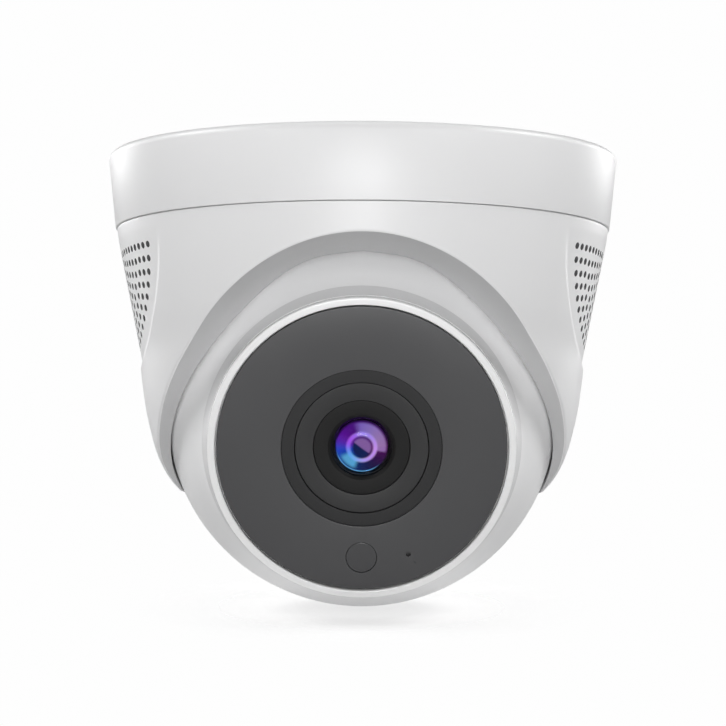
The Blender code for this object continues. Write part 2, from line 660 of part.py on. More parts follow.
def build_ball_shells():
    """The ball's two halves: the front one carries the collar, the back one is cut flat."""
    inner = BALL_RADIUS - BALL_WALL
    bore = FACE_RADIUS - COLLAR_WALL
    bore_root = math.sqrt(inner**2 - bore**2)
    lip_outer = math.sqrt(inner**2 - (PARTING_Z - PARTING_LIP) ** 2) - GAP
    front = [(FACE_RADIUS, COLLAR_TOP)]
    front += arc(BALL_RADIUS, COLLAR_ROOT_Z, PARTING_Z, BALL_STEPS)
    front += [
        (lip_outer, PARTING_Z),
        (lip_outer, PARTING_Z - PARTING_LIP),
        (lip_outer - PARTING_LIP_WALL, PARTING_Z - PARTING_LIP),
        (lip_outer - PARTING_LIP_WALL, -PARTING_Z),
    ]
    front += arc(inner, PARTING_LIP, bore_root, INNER_STEPS)
    front += [(bore, COLLAR_TOP)]
    turned("ball_front_shell", front, LARGE, WHITE, TILT_FRAME)
    rear_inner = REAR_Z + BALL_WALL
    rear = arc(BALL_RADIUS, PARTING_Z - GAP, REAR_Z, BALL_STEPS)
    rear += [(HUB_OUTER + GAP, REAR_Z), (HUB_OUTER + GAP, rear_inner)]
    rear += arc(inner, rear_inner, PARTING_Z - GAP, INNER_STEPS)
    turned("ball_rear_shell", rear, LARGE, WHITE, TILT_FRAME)


def build_face():
    """The bright ring and the dark panel, with its sensor window and microphone hole."""
    back = FACE_Z - RING_HEIGHT
    inner = FACE_RADIUS - RING_WIDTH
    ring = [
        (inner + RING_EDGE, FACE_Z),
        (FACE_RADIUS - RING_EDGE, FACE_Z),
        (FACE_RADIUS, FACE_Z - RING_EDGE),
        (FACE_RADIUS, back),
        (inner, back),
        (inner, FACE_Z - RING_EDGE),
    ]
    turned("bezel_ring", ring, LARGE, BRIGHT, TILT_FRAME)
    panel_back = PANEL_FRONT - PANEL_THICKNESS
    hole = SHROUD_OUTER + GAP
    panel = turned("front_panel", [(PANEL_RADIUS, PANEL_FRONT), (PANEL_RADIUS, panel_back),
                                   (hole, panel_back), (hole, PANEL_FRONT)],
                   LARGE, PANEL, TILT_FRAME)
    through = (panel_back - SPARE, FACE_Z + SPARE)
    combine(panel, rod("window_hole", WINDOW_RADIUS + GAP, *through, SMALL, WINDOW_PLACE,
                       parent=TILT_FRAME))
    combine(panel, rod("microphone_hole", MIC_HOLE_RADIUS, *through, TINY, MIC_PLACE,
                       parent=TILT_FRAME))
    rod("sensor_window", WINDOW_RADIUS, panel_back + GAP, PANEL_FRONT - GAP / 4, SMALL,
        WINDOW_PLACE, PANEL, TILT_FRAME)


def build_lens():
    """The rings round the lens, the barrel and its two glasses."""
    board = FACE_Z - LED_BOARD_FRONT + GAP
    turned("lens_shroud", [(SHROUD_OUTER, SHROUD_TOP), (SHROUD_OUTER, board),
                           (SHROUD_INNER, board), (SHROUD_INNER, SHROUD_TOP)],
           MEDIUM, RUBBER, TILT_FRAME)
    turned("focus_ring", [(FOCUS_OUTER - GAP, FOCUS_TOP), (FOCUS_OUTER, FOCUS_TOP - GAP),
                          (FOCUS_OUTER, FOCUS_LOW), (FOCUS_INNER, FOCUS_LOW),
                          (FOCUS_INNER, FOCUS_TOP)], MEDIUM, BLACK, TILT_FRAME)
    turned("lens_hood", [(HOOD_OUTER, HOOD_FRONT), (HOOD_OUTER, HOOD_LOW),
                         (HOOD_INNER, HOOD_LOW), (HOOD_INNER, HOOD_LOW + HOOD_EDGE)],
           MEDIUM, BLACK, TILT_FRAME)
    turned("lens_barrel", [(BARREL_HEAD, BARREL_TOP), (BARREL_HEAD, BARREL_SHOULDER),
                           (BARREL_THREAD, BARREL_SHOULDER), (BARREL_THREAD, BARREL_LOW),
                           (BARREL_BORE, BARREL_LOW), (BARREL_BORE, LENS_SEAT),
                           (LENS_RADIUS + GAP, LENS_SEAT), (LENS_RADIUS + GAP, BARREL_TOP)],
           MEDIUM, BLACK, TILT_FRAME)
    quarter = [i * math.pi / 2 / LENS_STEPS for i in range(LENS_STEPS + 1)]
    crown = [(LENS_RADIUS * math.sin(t), LENS_EDGE + LENS_CROWN * math.cos(t))
             for t in quarter]
    seat = LENS_SEAT + GAP
    solid("front_lens", crown + [(LENS_RADIUS, seat), (0, seat)], MEDIUM, GLASS, TILT_FRAME)
    rear_radius, rear_z = BARREL_BORE - GAP, BARREL_LOW + REAR_LENS_RISE
    solid("rear_lens", [(0, rear_z + REAR_LENS_HALF), (rear_radius, rear_z + REAR_LENS_EDGE),
                        (rear_radius, rear_z - REAR_LENS_EDGE), (0, rear_z - REAR_LENS_HALF)],
          SMALL, GLASS, TILT_FRAME)


def centred_box(name, side_x, side_y, low, high, material, place_xy=(0, 0)):
    x, y = place_xy
    return box(name, (x - side_x / 2, y - side_y / 2, low), (x + side_x / 2, y + side_y / 2, high),
               material, TILT_FRAME)


def build_lens_holder():
    """The block that holds the barrel over the image sensor, with the filter in it."""
    board = FACE_Z - SENSOR_BOARD_FRONT
    foot = board + GAP
    holder = centred_box("lens_holder", HOLDER_SIDE, HOLDER_SIDE, foot, foot + HOLDER_FOOT,
                         BLACK)
    neck = rod("holder_neck", HOLDER_NECK, foot + HOLDER_FOOT / 2, NECK_TOP, MEDIUM,
               parent=TILT_FRAME)
    combine(holder, neck, "UNION")
    combine(holder, rod("holder_bore", BARREL_THREAD + GAP, foot + SPARE, NECK_TOP + SPARE,
                        MEDIUM, parent=TILT_FRAME))
    sensor_top = foot + SENSOR_THICKNESS
    filter_low = sensor_top + GAP
    filter_top = filter_low + FILTER_THICKNESS
    room = SENSOR_SIDE + 2 * SENSOR_ROOM
    combine(holder, centred_box("sensor_room", room, room, board - SPARE, filter_top + GAP,
                                None))
    centred_box("image_sensor", SENSOR_SIDE, SENSOR_SIDE, foot, sensor_top, CHIP)
    centred_box("infrared_filter", FILTER_SIDE, FILTER_SIDE, filter_low, filter_top, GLASS)


def build_boards():
    """The lamp, sensor and main boards, with the posts and screws that stack them."""
    lamp_front = FACE_Z - LED_BOARD_FRONT
    lamp_back = lamp_front - LED_BOARD_THICKNESS
    inner = BALL_RADIUS - BALL_WALL
    outer = math.sqrt(inner**2 - lamp_front**2) - LED_BOARD_ROOM
    turned("lamp_board", [(outer, lamp_front), (outer, lamp_back),
                          (SHROUD_INNER + GAP, lamp_back), (SHROUD_INNER + GAP, lamp_front)],
           MEDIUM, BOARD, TILT_FRAME)
    sensor_front = FACE_Z - SENSOR_BOARD_FRONT
    sensor_back = sensor_front - BOARD_THICKNESS
    sensor = centred_box("sensor_board", SENSOR_BOARD_SIDE, SENSOR_BOARD_SIDE, sensor_back,
                         sensor_front, BOARD)
    main_front = FACE_Z - MAIN_BOARD_FRONT
    main_back = main_front - BOARD_THICKNESS
    main = centred_box("main_board", MAIN_BOARD_SIDE, MAIN_BOARD_SIDE, main_back, main_front,
                       BOARD)
    low, high = main_front + GAP, lamp_back - GAP
    spots = [(x, y) for x in (-POST_PLACE, POST_PLACE) for y in (-POST_PLACE, POST_PLACE)]
    for number, spot in enumerate(spots, 1):
        turned(f"board_post_{number}", [(POST_RADIUS, high), (POST_RADIUS, low),
                                        (POST_BORE, low), (POST_BORE, high)],
               TINY, BRASS, TILT_FRAME, (*spot, 0))
        combine(sensor, rod(f"post_hole_{number}", POST_RADIUS + GAP, sensor_back - SPARE,
                            sensor_front + SPARE, TINY, spot, parent=TILT_FRAME))
        combine(main, rod(f"screw_hole_{number}", POST_BORE, main_back - SPARE,
                          main_front + SPARE, TINY, spot, parent=TILT_FRAME))
        screw_piece(f"board_screw_{number}", main_back + BOARD_SCREW_LENGTH, main_back - GAP,
                    spot, STEEL, TILT_FRAME, POST_BORE - GAP)


def build_lamps():
    """Six infrared lamps round the lens, the light sensor and the microphone."""
    base = FACE_Z - LED_BOARD_FRONT + GAP
    shoulder = base + LED_HEIGHT - LED_RADIUS
    quarter = [i * math.pi / 2 / LAMP_STEPS for i in range(LAMP_STEPS + 1)]
    dome = [(LED_RADIUS * math.sin(t), shoulder + LED_RADIUS * math.cos(t)) for t in quarter]
    for number, angle in enumerate(around(LED_COUNT, LED_FIRST, LED_STEP), 1):
        solid(f"infrared_lamp_{number}", dome + [(LED_RADIUS, base), (0, base)], TINY, GLASS,
              TILT_FRAME, (*polar(FACE_MIDDLE, angle), 0))
    rod("light_sensor", WINDOW_RADIUS - GAP, base, base + LIGHT_SENSOR_HEIGHT, SMALL,
        WINDOW_PLACE, BRASS, TILT_FRAME)
    rod("microphone", MIC_RADIUS, base + SPARE, base + SPARE + MIC_HEIGHT, SMALL, MIC_PLACE,
        ALUMINIUM, TILT_FRAME)


def build_heat_sink(top):
    """A finned block whose flat side is at the given height."""
    root, tip = top - SINK_BASE, top - SINK_BASE - FIN_HEIGHT
    pitch = (SINK_SIDE - FIN_THICKNESS) / (FIN_COUNT - 1)
    half = SINK_SIDE / 2
    fins = []
    for i in range(FIN_COUNT):
        right = half - i * pitch
        left = right - FIN_THICKNESS
        fins += [(right, root), (right, tip), (left, tip), (left, root)]
    prism("heat_sink", [(-half, top), (half, top)] + fins[1:-1], SINK_SIDE, ALUMINIUM,
          TILT_FRAME)


def build_main_board_pieces():
    """The processor with its heat sink, the radio and its aerial, the card slot and plug."""
    front = FACE_Z - MAIN_BOARD_FRONT
    back = front - BOARD_THICKNESS - GAP
    centred_box("processor", CHIP_SIDE, CHIP_SIDE, back - CHIP_THICKNESS, back, CHIP)
    build_heat_sink(back - CHIP_THICKNESS - GAP)
    width, length, depth = RADIO_SIZE
    centred_box("radio_module", width, length, back - depth, back, STEEL, (0, RADIO_Y))
    width, length = AERIAL_SIZE
    centred_box("radio_aerial", width, length, front - BOARD_THICKNESS - AERIAL_BEHIND,
                front + AERIAL_AHEAD - BOARD_THICKNESS, BRASS,
                (0, MAIN_BOARD_SIDE / 2 + AERIAL_GAP))
    width, length, depth = PLUG_SIZE
    centred_box("power_plug", width, length, back - depth, back, NYLON, (0, PLUG_Y))
    width, length, depth = CARD_SIZE
    centred_box("card_slot", width, length, front + GAP, front + GAP + depth, STEEL)


def build_roll_hub():
    """The hollow hub that the ball rolls on, with its washer and nut behind the yoke."""
    plate_front = REAR_Z - GAP
    plate_back = plate_front - YOKE_WALL
    washer_front = plate_back - GAP
    washer_back = washer_front - WASHER_THICKNESS
    nut_front = washer_back - GAP
    nut_back = nut_front - NUT_THICKNESS
    flange_back = REAR_Z + BALL_WALL + GAP
    flange_front = flange_back + HUB_FLANGE_THICKNESS
    turned("roll_hub", [(HUB_FLANGE, flange_front), (HUB_FLANGE, flange_back),
                        (HUB_OUTER, flange_back), (HUB_OUTER, nut_back - GAP),
                        (HUB_INNER, nut_back - GAP), (HUB_INNER, flange_front)],
           SMALL, NYLON, TILT_FRAME)
    bore = HUB_OUTER + GAP
    turned("roll_washer", [(WASHER_RADIUS, washer_front), (WASHER_RADIUS, washer_back),
                           (bore, washer_back), (bore, washer_front)], SMALL, STEEL, TILT_FRAME)
    nut = rod("roll_nut", NUT_RADIUS, nut_back, nut_front, NUT_SIDES, (0, 0), STEEL,
              TILT_FRAME)
    combine(nut, rod("nut_bore", bore, nut_back - SPARE, nut_front + SPARE, SMALL,
                     parent=TILT_FRAME))
    build_yoke(plate_front, plate_back)


def build_yoke(front, back):
    """A bent steel strip from pin to pin round the back of the ball."""
    first = -math.asin(YOKE_END / YOKE_OUTER)

    def side(radius, plane):
        last = math.asin(-plane / radius)
        angles = [first + (last - first) * i / YOKE_STEPS for i in range(YOKE_STEPS + 1)]
        return [(radius * math.cos(a), -radius * math.sin(a)) for a in angles]

    outside, inside = side(YOKE_OUTER, back), side(YOKE_INNER, front)
    outline = outside + [(-x, z) for x, z in reversed(outside)]
    outline += [(-x, z) for x, z in inside] + inside[::-1]
    yoke = prism("tilt_yoke", outline, YOKE_WIDTH, STEEL, TILT_FRAME)
    plate = rod("roll_plate", ROLL_PLATE_RADIUS, back + GAP / 10, front - GAP / 10, MEDIUM,
                parent=TILT_FRAME)
    combine(yoke, plate, "UNION")
    combine(yoke, rod("roll_bore", HUB_OUTER + GAP, back - SPARE, front + SPARE, SMALL,
                      parent=TILT_FRAME))
    reach = YOKE_OUTER + 2 * SPARE
    pins = cross_rod("pin_bore", PIN_RADIUS + GAP, -reach, reach, SMALL, 0)
    pins.parent = TILT_FRAME
    combine(yoke, pins)


build_base_ring()
build_mounting_plate()
build_cable_grommet()
build_turntable()
build_shell()
build_grille_meshes()
build_speaker()
build_ball_shells()
build_face()
build_lens()
build_lens_holder()
build_boards()
build_lamps()
build_main_board_pieces()
build_roll_hub()
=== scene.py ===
"""The look of the ceiling security camera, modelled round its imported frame.

Pieces of the eyeball are modelled along the lens's own axis, with +Z out through the
glass and +Y up, and then turned into place.
"""

import json
import math

import bmesh
import bpy
import numpy as np
from mathutils import Matrix, Vector


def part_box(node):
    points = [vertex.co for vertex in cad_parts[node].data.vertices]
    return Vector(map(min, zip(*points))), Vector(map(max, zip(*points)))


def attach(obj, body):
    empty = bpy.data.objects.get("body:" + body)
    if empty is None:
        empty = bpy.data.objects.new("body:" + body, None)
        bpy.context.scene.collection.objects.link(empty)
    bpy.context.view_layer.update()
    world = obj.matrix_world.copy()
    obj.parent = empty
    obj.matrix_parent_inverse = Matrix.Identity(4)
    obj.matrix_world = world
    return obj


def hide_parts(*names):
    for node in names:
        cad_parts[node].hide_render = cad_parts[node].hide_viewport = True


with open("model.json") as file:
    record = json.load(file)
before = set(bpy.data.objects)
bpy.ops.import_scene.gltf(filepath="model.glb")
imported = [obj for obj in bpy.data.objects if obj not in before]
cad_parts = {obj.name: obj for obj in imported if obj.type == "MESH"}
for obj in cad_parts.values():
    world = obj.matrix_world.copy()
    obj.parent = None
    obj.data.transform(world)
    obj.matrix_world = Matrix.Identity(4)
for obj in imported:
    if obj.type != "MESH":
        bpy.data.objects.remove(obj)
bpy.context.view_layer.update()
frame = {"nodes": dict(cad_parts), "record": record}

MM = 0.001
FINE, MEDIUM, COARSE, SMALL = 256, 160, 48, 24
NODES = frame["nodes"]
JOINTS = {joint["name"]: joint for joint in frame["record"]["behaviour"]["joints"]}
BALL_CENTRE = Vector(JOINTS["tilt"]["pos_m"])
LENS_AXIS = Vector(JOINTS["roll"]["axis"])
LENS_TILT = math.atan2(-LENS_AXIS.y, LENS_AXIS.z)
BALL_TURN = Matrix.Translation(BALL_CENTRE) @ Matrix.Rotation(LENS_TILT, 4, "X")
STILL = Matrix()


def points_of(name, turn):
    """A CAD piece's points, measured along the axes of a turned frame."""
    back = turn.inverted()
    return np.array([back @ vertex.co for vertex in NODES[name].data.vertices])


def local_box(name):
    """A CAD piece's corners along the lens's own axes."""
    points = points_of(name, BALL_TURN)
    return Vector(points.min(axis=0)), Vector(points.max(axis=0))


def reach(name, turn=STILL):
    """(inner radius, outer radius, lowest, highest) of a turned CAD piece about its axis."""
    points = points_of(name, turn)
    radii = np.hypot(points[:, 0], points[:, 1])
    return radii.min(), radii.max(), points[:, 2].min(), points[:, 2].max()


# Shader building

COLOR, FLOAT, VECTOR = "NodeSocketColor", "NodeSocketFloat", "NodeSocketVector"


def node(tree, kind, inputs=None, **settings):
    """Adds a shader node. An input is a value, or a socket to link from."""
    made = tree.nodes.new(kind)
    for name, value in settings.items():
        setattr(made, name, value)
    for name, value in (inputs or {}).items():
        if isinstance(value, bpy.types.NodeSocket):
            tree.links.new(value, made.inputs[name])
        else:
            made.inputs[name].default_value = value
    return made


def maths(tree, operation, first, second=0.0, third=0.0, clamp=False):
    """One step of arithmetic."""
    return node(tree, "ShaderNodeMath", {0: first, 1: second, 2: third},
                operation=operation, use_clamp=clamp).outputs[0]


def blended(tree, share, first, second, mode="MIX"):
    """Two colours mixed by a share."""
    return node(tree, "ShaderNodeMix", {0: share, 6: first, 7: second}, data_type="RGBA",
                blend_type=mode).outputs[2]


def eased_step(tree, value, low, high):
    """0 below low, 1 above high and smooth between."""
    return node(tree, "ShaderNodeMapRange", {0: value, 1: low, 2: high, 3: 0.0, 4: 1.0},
                interpolation_type="SMOOTHSTEP").outputs[0]


def band(tree, value, low, high, soft):
    """1 between low and high, with soft edges."""
    rise = eased_step(tree, value, low - soft, low + soft)
    fall = eased_step(tree, value, high - soft, high + soft)
    return maths(tree, "SUBTRACT", rise, fall, clamp=True)


def noise(tree, place, scale, detail=2.0, roughness=0.5):
    """Soft noise between 0 and 1."""
    return node(tree, "ShaderNodeTexNoise", {"Vector": place, "Scale": scale, "Detail": detail,
                "Roughness": roughness}).outputs["Fac"]


def new_group(name, inputs, outputs):
    """A node group with these sockets: (group, its inputs, its outputs)."""
    group = bpy.data.node_groups.new(name, "ShaderNodeTree")
    for label, kind, value in inputs:
        socket = group.interface.new_socket(label, in_out="INPUT", socket_type=kind)
        socket.default_value = value
    for label, kind in outputs:
        group.interface.new_socket(label, in_out="OUTPUT", socket_type=kind)
    return group, group.nodes.new("NodeGroupInput"), group.nodes.new("NodeGroupOutput")


def moulded_skin():
    """The skin of moulded plastic: spark-eroded grain, faint flow marks and handling sheen."""
    tree, given, result = new_group(
        "moulded_skin",
        [("Color", COLOR, (0.8, 0.8, 0.8, 1)), ("Roughness", FLOAT, 0.4),
         ("Grain Size", FLOAT, 0.00035), ("Variation", FLOAT, 0.02)],
        [("Color", COLOR), ("Roughness", FLOAT), ("Height", FLOAT)])
    place = tree.nodes.new("ShaderNodeTexCoord").outputs["Object"]
    grain_scale = maths(tree, "DIVIDE", 1.0, given.outputs["Grain Size"])
    grain = noise(tree, place, grain_scale, 2.0, 0.6)
    fine = node(tree, "ShaderNodeTexVoronoi", {"Vector": place, "Scale": grain_scale},
                feature="SMOOTH_F1").outputs["Distance"]
    flow = noise(tree, place, 38.0, 3.0, 0.55)
    touch = noise(tree, place, 120.0, 4.0, 0.65)
    change = maths(tree, "MULTIPLY", maths(tree, "SUBTRACT", flow, 0.5), given.outputs["Variation"])
    brighter = maths(tree, "ADD", 1.0, change)
    tone = node(tree, "ShaderNodeVectorMath", {0: given.outputs["Color"], "Scale": brighter},
                operation="SCALE").outputs[0]
    tree.links.new(tone, result.inputs["Color"])
    sheen = maths(tree, "MULTIPLY", maths(tree, "SUBTRACT", touch, 0.5), 0.12)
    tree.links.new(maths(tree, "ADD", given.outputs["Roughness"], sheen),
                   result.inputs["Roughness"])
    tree.links.new(maths(tree, "MULTIPLY_ADD", fine, 0.5, grain), result.inputs["Height"])
    return tree


def worn_metal():
    """Plated or cast metal: brushing along one direction, stains and small pits."""
    tree, given, result = new_group(
        "worn_metal",
        [("Color", COLOR, (0.6, 0.6, 0.6, 1)), ("Roughness", FLOAT, 0.35),
         ("Stretch", VECTOR, (40.0, 900.0, 900.0))],
        [("Color", COLOR), ("Roughness", FLOAT), ("Height", FLOAT)])
    place = tree.nodes.new("ShaderNodeTexCoord").outputs["Object"]
    long = node(tree, "ShaderNodeVectorMath", {0: place, 1: given.outputs["Stretch"]},
                operation="MULTIPLY").outputs[0]
    brushing = noise(tree, long, 3.0, 4.0, 0.7)
    stain = noise(tree, place, 160.0, 5.0, 0.6)
    dull = eased_step(tree, stain, 0.35, 0.7)
    darker = node(tree, "ShaderNodeVectorMath", {0: given.outputs["Color"], "Scale": 0.72},
                  operation="SCALE").outputs[0]
    tree.links.new(blended(tree, maths(tree, "MULTIPLY", dull, 0.5), given.outputs["Color"],
                           darker), result.inputs["Color"])
    rough = maths(tree, "MULTIPLY_ADD", brushing, 0.22, given.outputs["Roughness"])
    tree.links.new(maths(tree, "MULTIPLY_ADD", dull, 0.15, maths(tree, "SUBTRACT", rough, 0.11)),
                   result.inputs["Roughness"])
    tree.links.new(brushing, result.inputs["Height"])
    return tree


SKIN = moulded_skin()
METAL = worn_metal()


def material(name):
    """A new material with its node tree and its shader."""
    made = bpy.data.materials.new(name)
    made.use_nodes = True
    return made, made.node_tree, made.node_tree.nodes["Principled BSDF"]


def bumped(tree, shader, height, strength, distance):
    """Raises a shader's surface by a height."""
    bump = node(tree, "ShaderNodeBump", {"Height": height, "Strength": strength,
                "Distance": distance})
    tree.links.new(bump.outputs[0], shader.inputs["Normal"])


def grouped(tree, group, values):
    """Places a node group and sets its inputs."""
    placed = tree.nodes.new("ShaderNodeGroup")
    placed.node_tree = group
    for name, value in values.items():
        placed.inputs[name].default_value = value
    return placed


def plastic(name, color, roughness, grain=0.00035, bump=0.1, variation=0.02, coat=0.0,
            specular=0.5):
    """Moulded plastic in one colour."""
    made, tree, shader = material(name)
    skin = grouped(tree, SKIN, {"Color": (*color, 1), "Roughness": roughness,
                                "Grain Size": grain, "Variation": variation})
    tree.links.new(skin.outputs["Color"], shader.inputs["Base Color"])
    tree.links.new(skin.outputs["Roughness"], shader.inputs["Roughness"])
    bumped(tree, shader, skin.outputs["Height"], bump, 0.00005)
    shader.inputs["Specular IOR Level"].default_value = specular
    shader.inputs["Coat Weight"].default_value = coat
    shader.inputs["Coat Roughness"].default_value = 0.12
    return made


def metal(name, color, roughness, stretch=(40.0, 900.0, 900.0)):
    """Brushed, plated or turned metal."""
    made, tree, shader = material(name)
    worn = grouped(tree, METAL, {"Color": (*color, 1), "Roughness": roughness,
                                 "Stretch": stretch})
    tree.links.new(worn.outputs["Color"], shader.inputs["Base Color"])
    tree.links.new(worn.outputs["Roughness"], shader.inputs["Roughness"])
    bumped(tree, shader, worn.outputs["Height"], 0.12, 0.00004)
    shader.inputs["Metallic"].default_value = 1.0
    return made


def circuit(name):
    """A circuit board: green solder mask, copper tracks under it and tinned pads."""
    made, tree, shader = material(name)
    place = node(tree, "ShaderNodeMapping", {
        "Vector": tree.nodes.new("ShaderNodeTexCoord").outputs["Object"],
        "Location": BALL_CENTRE, "Rotation": (LENS_TILT, 0, 0)}, vector_type="TEXTURE").outputs[0]
    tracks = node(tree, "ShaderNodeTexBrick", {
        "Vector": place, "Scale": 320.0, "Mortar Size": 0.035, "Color1": (0, 0, 0, 1),
        "Color2": (0, 0, 0, 1), "Mortar": (1, 1, 1, 1)}).outputs["Color"]
    pads = node(tree, "ShaderNodeTexVoronoi", {"Vector": place, "Scale": 420.0},
                feature="F1").outputs["Distance"]
    pad = maths(tree, "SUBTRACT", 1.0, eased_step(tree, pads, 0.1, 0.14))
    mask = blended(tree, tracks, (0.008, 0.075, 0.03, 1), (0.02, 0.14, 0.055, 1))
    tree.links.new(blended(tree, pad, mask, (0.62, 0.6, 0.55, 1)), shader.inputs["Base Color"])
    tree.links.new(pad, shader.inputs["Metallic"])
    shader.inputs["Roughness"].default_value = 0.32
    bumped(tree, shader, maths(tree, "ADD", pad, tracks), 0.3, 0.00004)
    return made


def woven(name, color, pitch):
    """Fine open dust cloth."""
    made, tree, shader = material(name)
    place = tree.nodes.new("ShaderNodeTexCoord").outputs["Object"]
    apart = node(tree, "ShaderNodeSeparateXYZ", {0: place})
    across = maths(tree, "SINE", maths(tree, "MULTIPLY", apart.outputs["Y"], math.tau / pitch))
    along = maths(tree, "SINE", maths(tree, "MULTIPLY", apart.outputs["Z"], math.tau / pitch))
    threads = maths(tree, "MAXIMUM", across, along)
    light = eased_step(tree, threads, 0.2, 1.0)
    darker = tuple(part * 0.35 for part in color)
    tree.links.new(blended(tree, light, (*darker, 1), (*color, 1)), shader.inputs["Base Color"])
    shader.inputs["Roughness"].default_value = 0.85
    bumped(tree, shader, threads, 0.6, 0.0001)
    return made


def clear_glass(name, tint, ior):
    """Tinted glass, very slightly smeared."""
    made, tree, shader = material(name)
    place = tree.nodes.new("ShaderNodeTexCoord").outputs["Object"]
    smear = noise(tree, place, 300.0, 3.0, 0.6)
    tree.links.new(maths(tree, "MULTIPLY", smear, 0.05), shader.inputs["Roughness"])
    shader.inputs["Base Color"].default_value = (*tint, 1)
    shader.inputs["IOR"].default_value = ior
    shader.inputs["Transmission Weight"].default_value = 1.0
    return made


def lens_place(tree, radius):
    """(share of the radius, angle in turns from the right, x, y) about the lens axis."""
    place = node(tree, "ShaderNodeMapping", {
        "Vector": tree.nodes.new("ShaderNodeTexCoord").outputs["Object"],
        "Location": BALL_CENTRE, "Rotation": (LENS_TILT, 0, 0),
        "Scale": (radius, radius, radius)}, vector_type="TEXTURE").outputs[0]
    apart = node(tree, "ShaderNodeSeparateXYZ", {0: place})
    x, y = apart.outputs["X"], apart.outputs["Y"]
    flat = node(tree, "ShaderNodeCombineXYZ", {0: x, 1: y})
    share = node(tree, "ShaderNodeVectorMath", {0: flat.outputs[0]},
                 operation="LENGTH").outputs["Value"]
    turn = maths(tree, "DIVIDE", maths(tree, "ARCTAN2", y, x), math.tau)
    return share, maths(tree, "FRACT", maths(tree, "ADD", turn, 1.0)), x, y


def ramp(tree, value, stops):
    """Colours that follow a value through (position, colour) stops."""
    made = node(tree, "ShaderNodeValToRGB", {0: value})
    made.color_ramp.interpolation = "B_SPLINE"
    elements = made.color_ramp.elements
    while len(elements) < len(stops):
        elements.new(0.5)
    for element, (position, color) in zip(elements, stops):
        element.position = position
        element.color = (*color, 1)
    return made.outputs[0]


def painted_lens_reflections(name, radius):
    """Painted reflections of a lens's coatings: violet, lavender and cyan round a dark pupil."""
    made, tree, shader = material(name)
    share, turn, x, y = lens_place(tree, radius)
    # The colours below are painted reflections in the lens, laid over a dark ground.
    depth = ramp(tree, turn, [
        (0.0, (0.1, 0.01, 0.12)), (0.1, (0.06, 0.01, 0.12)), (0.28, (0.05, 0.008, 0.16)),
        (0.38, (0.08, 0.004, 0.2)), (0.46, (0.1, 0.008, 0.34)), (0.52, (0.004, 0.06, 0.5)),
        (0.62, (0.004, 0.04, 0.2)), (0.75, (0.002, 0.012, 0.07)), (0.9, (0.02, 0.001, 0.04)),
        (1.0, (0.1, 0.01, 0.12))])
    glow = ramp(tree, turn, [
        (0.0, (0.66, 0.36, 0.86)), (0.12, (0.42, 0.28, 0.75)), (0.25, (0.32, 0.26, 0.8)),
        (0.36, (0.4, 0.12, 0.75)), (0.46, (0.38, 0.06, 0.72)), (0.55, (0.1, 0.3, 0.75)),
        (0.64, (0.12, 0.5, 0.78)), (0.75, (0.4, 0.36, 0.8)), (0.88, (0.6, 0.3, 0.82)),
        (1.0, (0.66, 0.36, 0.86))])
    window = ramp(tree, turn, [
        (0.0, (0.3, 0.16, 0.36)), (0.1, (0.28, 0.18, 0.4)), (0.2, (0.21, 0.15, 0.45)),
        (0.3, (0.15, 0.08, 0.42)), (1.0, (0.3, 0.16, 0.36))])
    # The lavender pane is a painted reflection of a softbox.
    pane = maths(tree, "MULTIPLY", band(tree, share, 0.5, 0.84, 0.06),
                 maths(tree, "ADD", band(tree, turn, -0.2, 0.285, 0.035),
                       eased_step(tree, turn, 0.95, 0.975), clamp=True))
    color = blended(tree, pane, depth, window)
    # A cyan patch low down: a painted reflection.
    lower = maths(tree, "MULTIPLY", band(tree, share, 0.45, 0.8, 0.08),
                  band(tree, turn, 0.57, 0.7, 0.025))
    color = blended(tree, lower, color, (0.09, 0.38, 0.6, 1))
    # A bright middle band: a painted reflection.
    middle = maths(tree, "MULTIPLY", band(tree, share, 0.4, 0.54, 0.05), 0.85)
    color = blended(tree, middle, color, glow)
    # A cyan crescent at the rim: a painted reflection.
    rim = maths(tree, "MULTIPLY", band(tree, share, 0.87, 0.91, 0.015),
                band(tree, turn, 0.56, 0.84, 0.05))
    color = blended(tree, rim, color, (0.12, 0.42, 0.72, 1))
    # The pupil's two halves are painted reflections too.
    pupil = maths(tree, "SUBTRACT", 1.0, eased_step(tree, share, 0.26, 0.38))
    diagonal = eased_step(tree, maths(tree, "MULTIPLY_ADD", x, 0.75, y), -0.07, 0.03)
    inside = blended(tree, diagonal, (0.004, 0.012, 0.07, 1), (0.2, 0.1, 0.3, 1))
    color = blended(tree, pupil, color, inside)
    # Darker towards the rim.
    edge = eased_step(tree, share, 0.84, 0.95)
    color = blended(tree, maths(tree, "MULTIPLY", edge, maths(tree, "SUBTRACT", 1.0, rim)),
                    color, (0.006, 0.002, 0.02, 1))
    tree.links.new(color, shader.inputs["Base Color"])
    # The painted colours also glow faintly, though the lens is no lamp.
    tree.links.new(color, shader.inputs["Emission Color"])
    shader.inputs["Emission Strength"].default_value = 0.4
    shader.inputs["Roughness"].default_value = 0.6
    shader.inputs["Specular IOR Level"].default_value = 0.05
    return made


WHITE = plastic("white_abs", (0.83, 0.83, 0.835), 0.42, grain=0.0003, bump=0.08)
# The ball's white is made lighter than the shell's same white: painted light on the ball.
BALL_LIT_WHITE = plastic("ball_abs_painted_light", (0.96, 0.96, 0.965), 0.36, grain=0.00025, bump=0.05)
# A grey white for the hood's inner face: painted shade where it looks down into the recess.
EAVE_SHADE = plastic("hood_painted_shade", (0.56, 0.56, 0.565), 0.5, grain=0.0003, bump=0.1)
# Near-black for the bores of the grille holes and the disc in the microphone hole: painted shade in
# the holes.
HOLE_SHADE = plastic("hole_painted_shade", (0.09, 0.09, 0.092), 0.8, bump=0.2, variation=0.2)
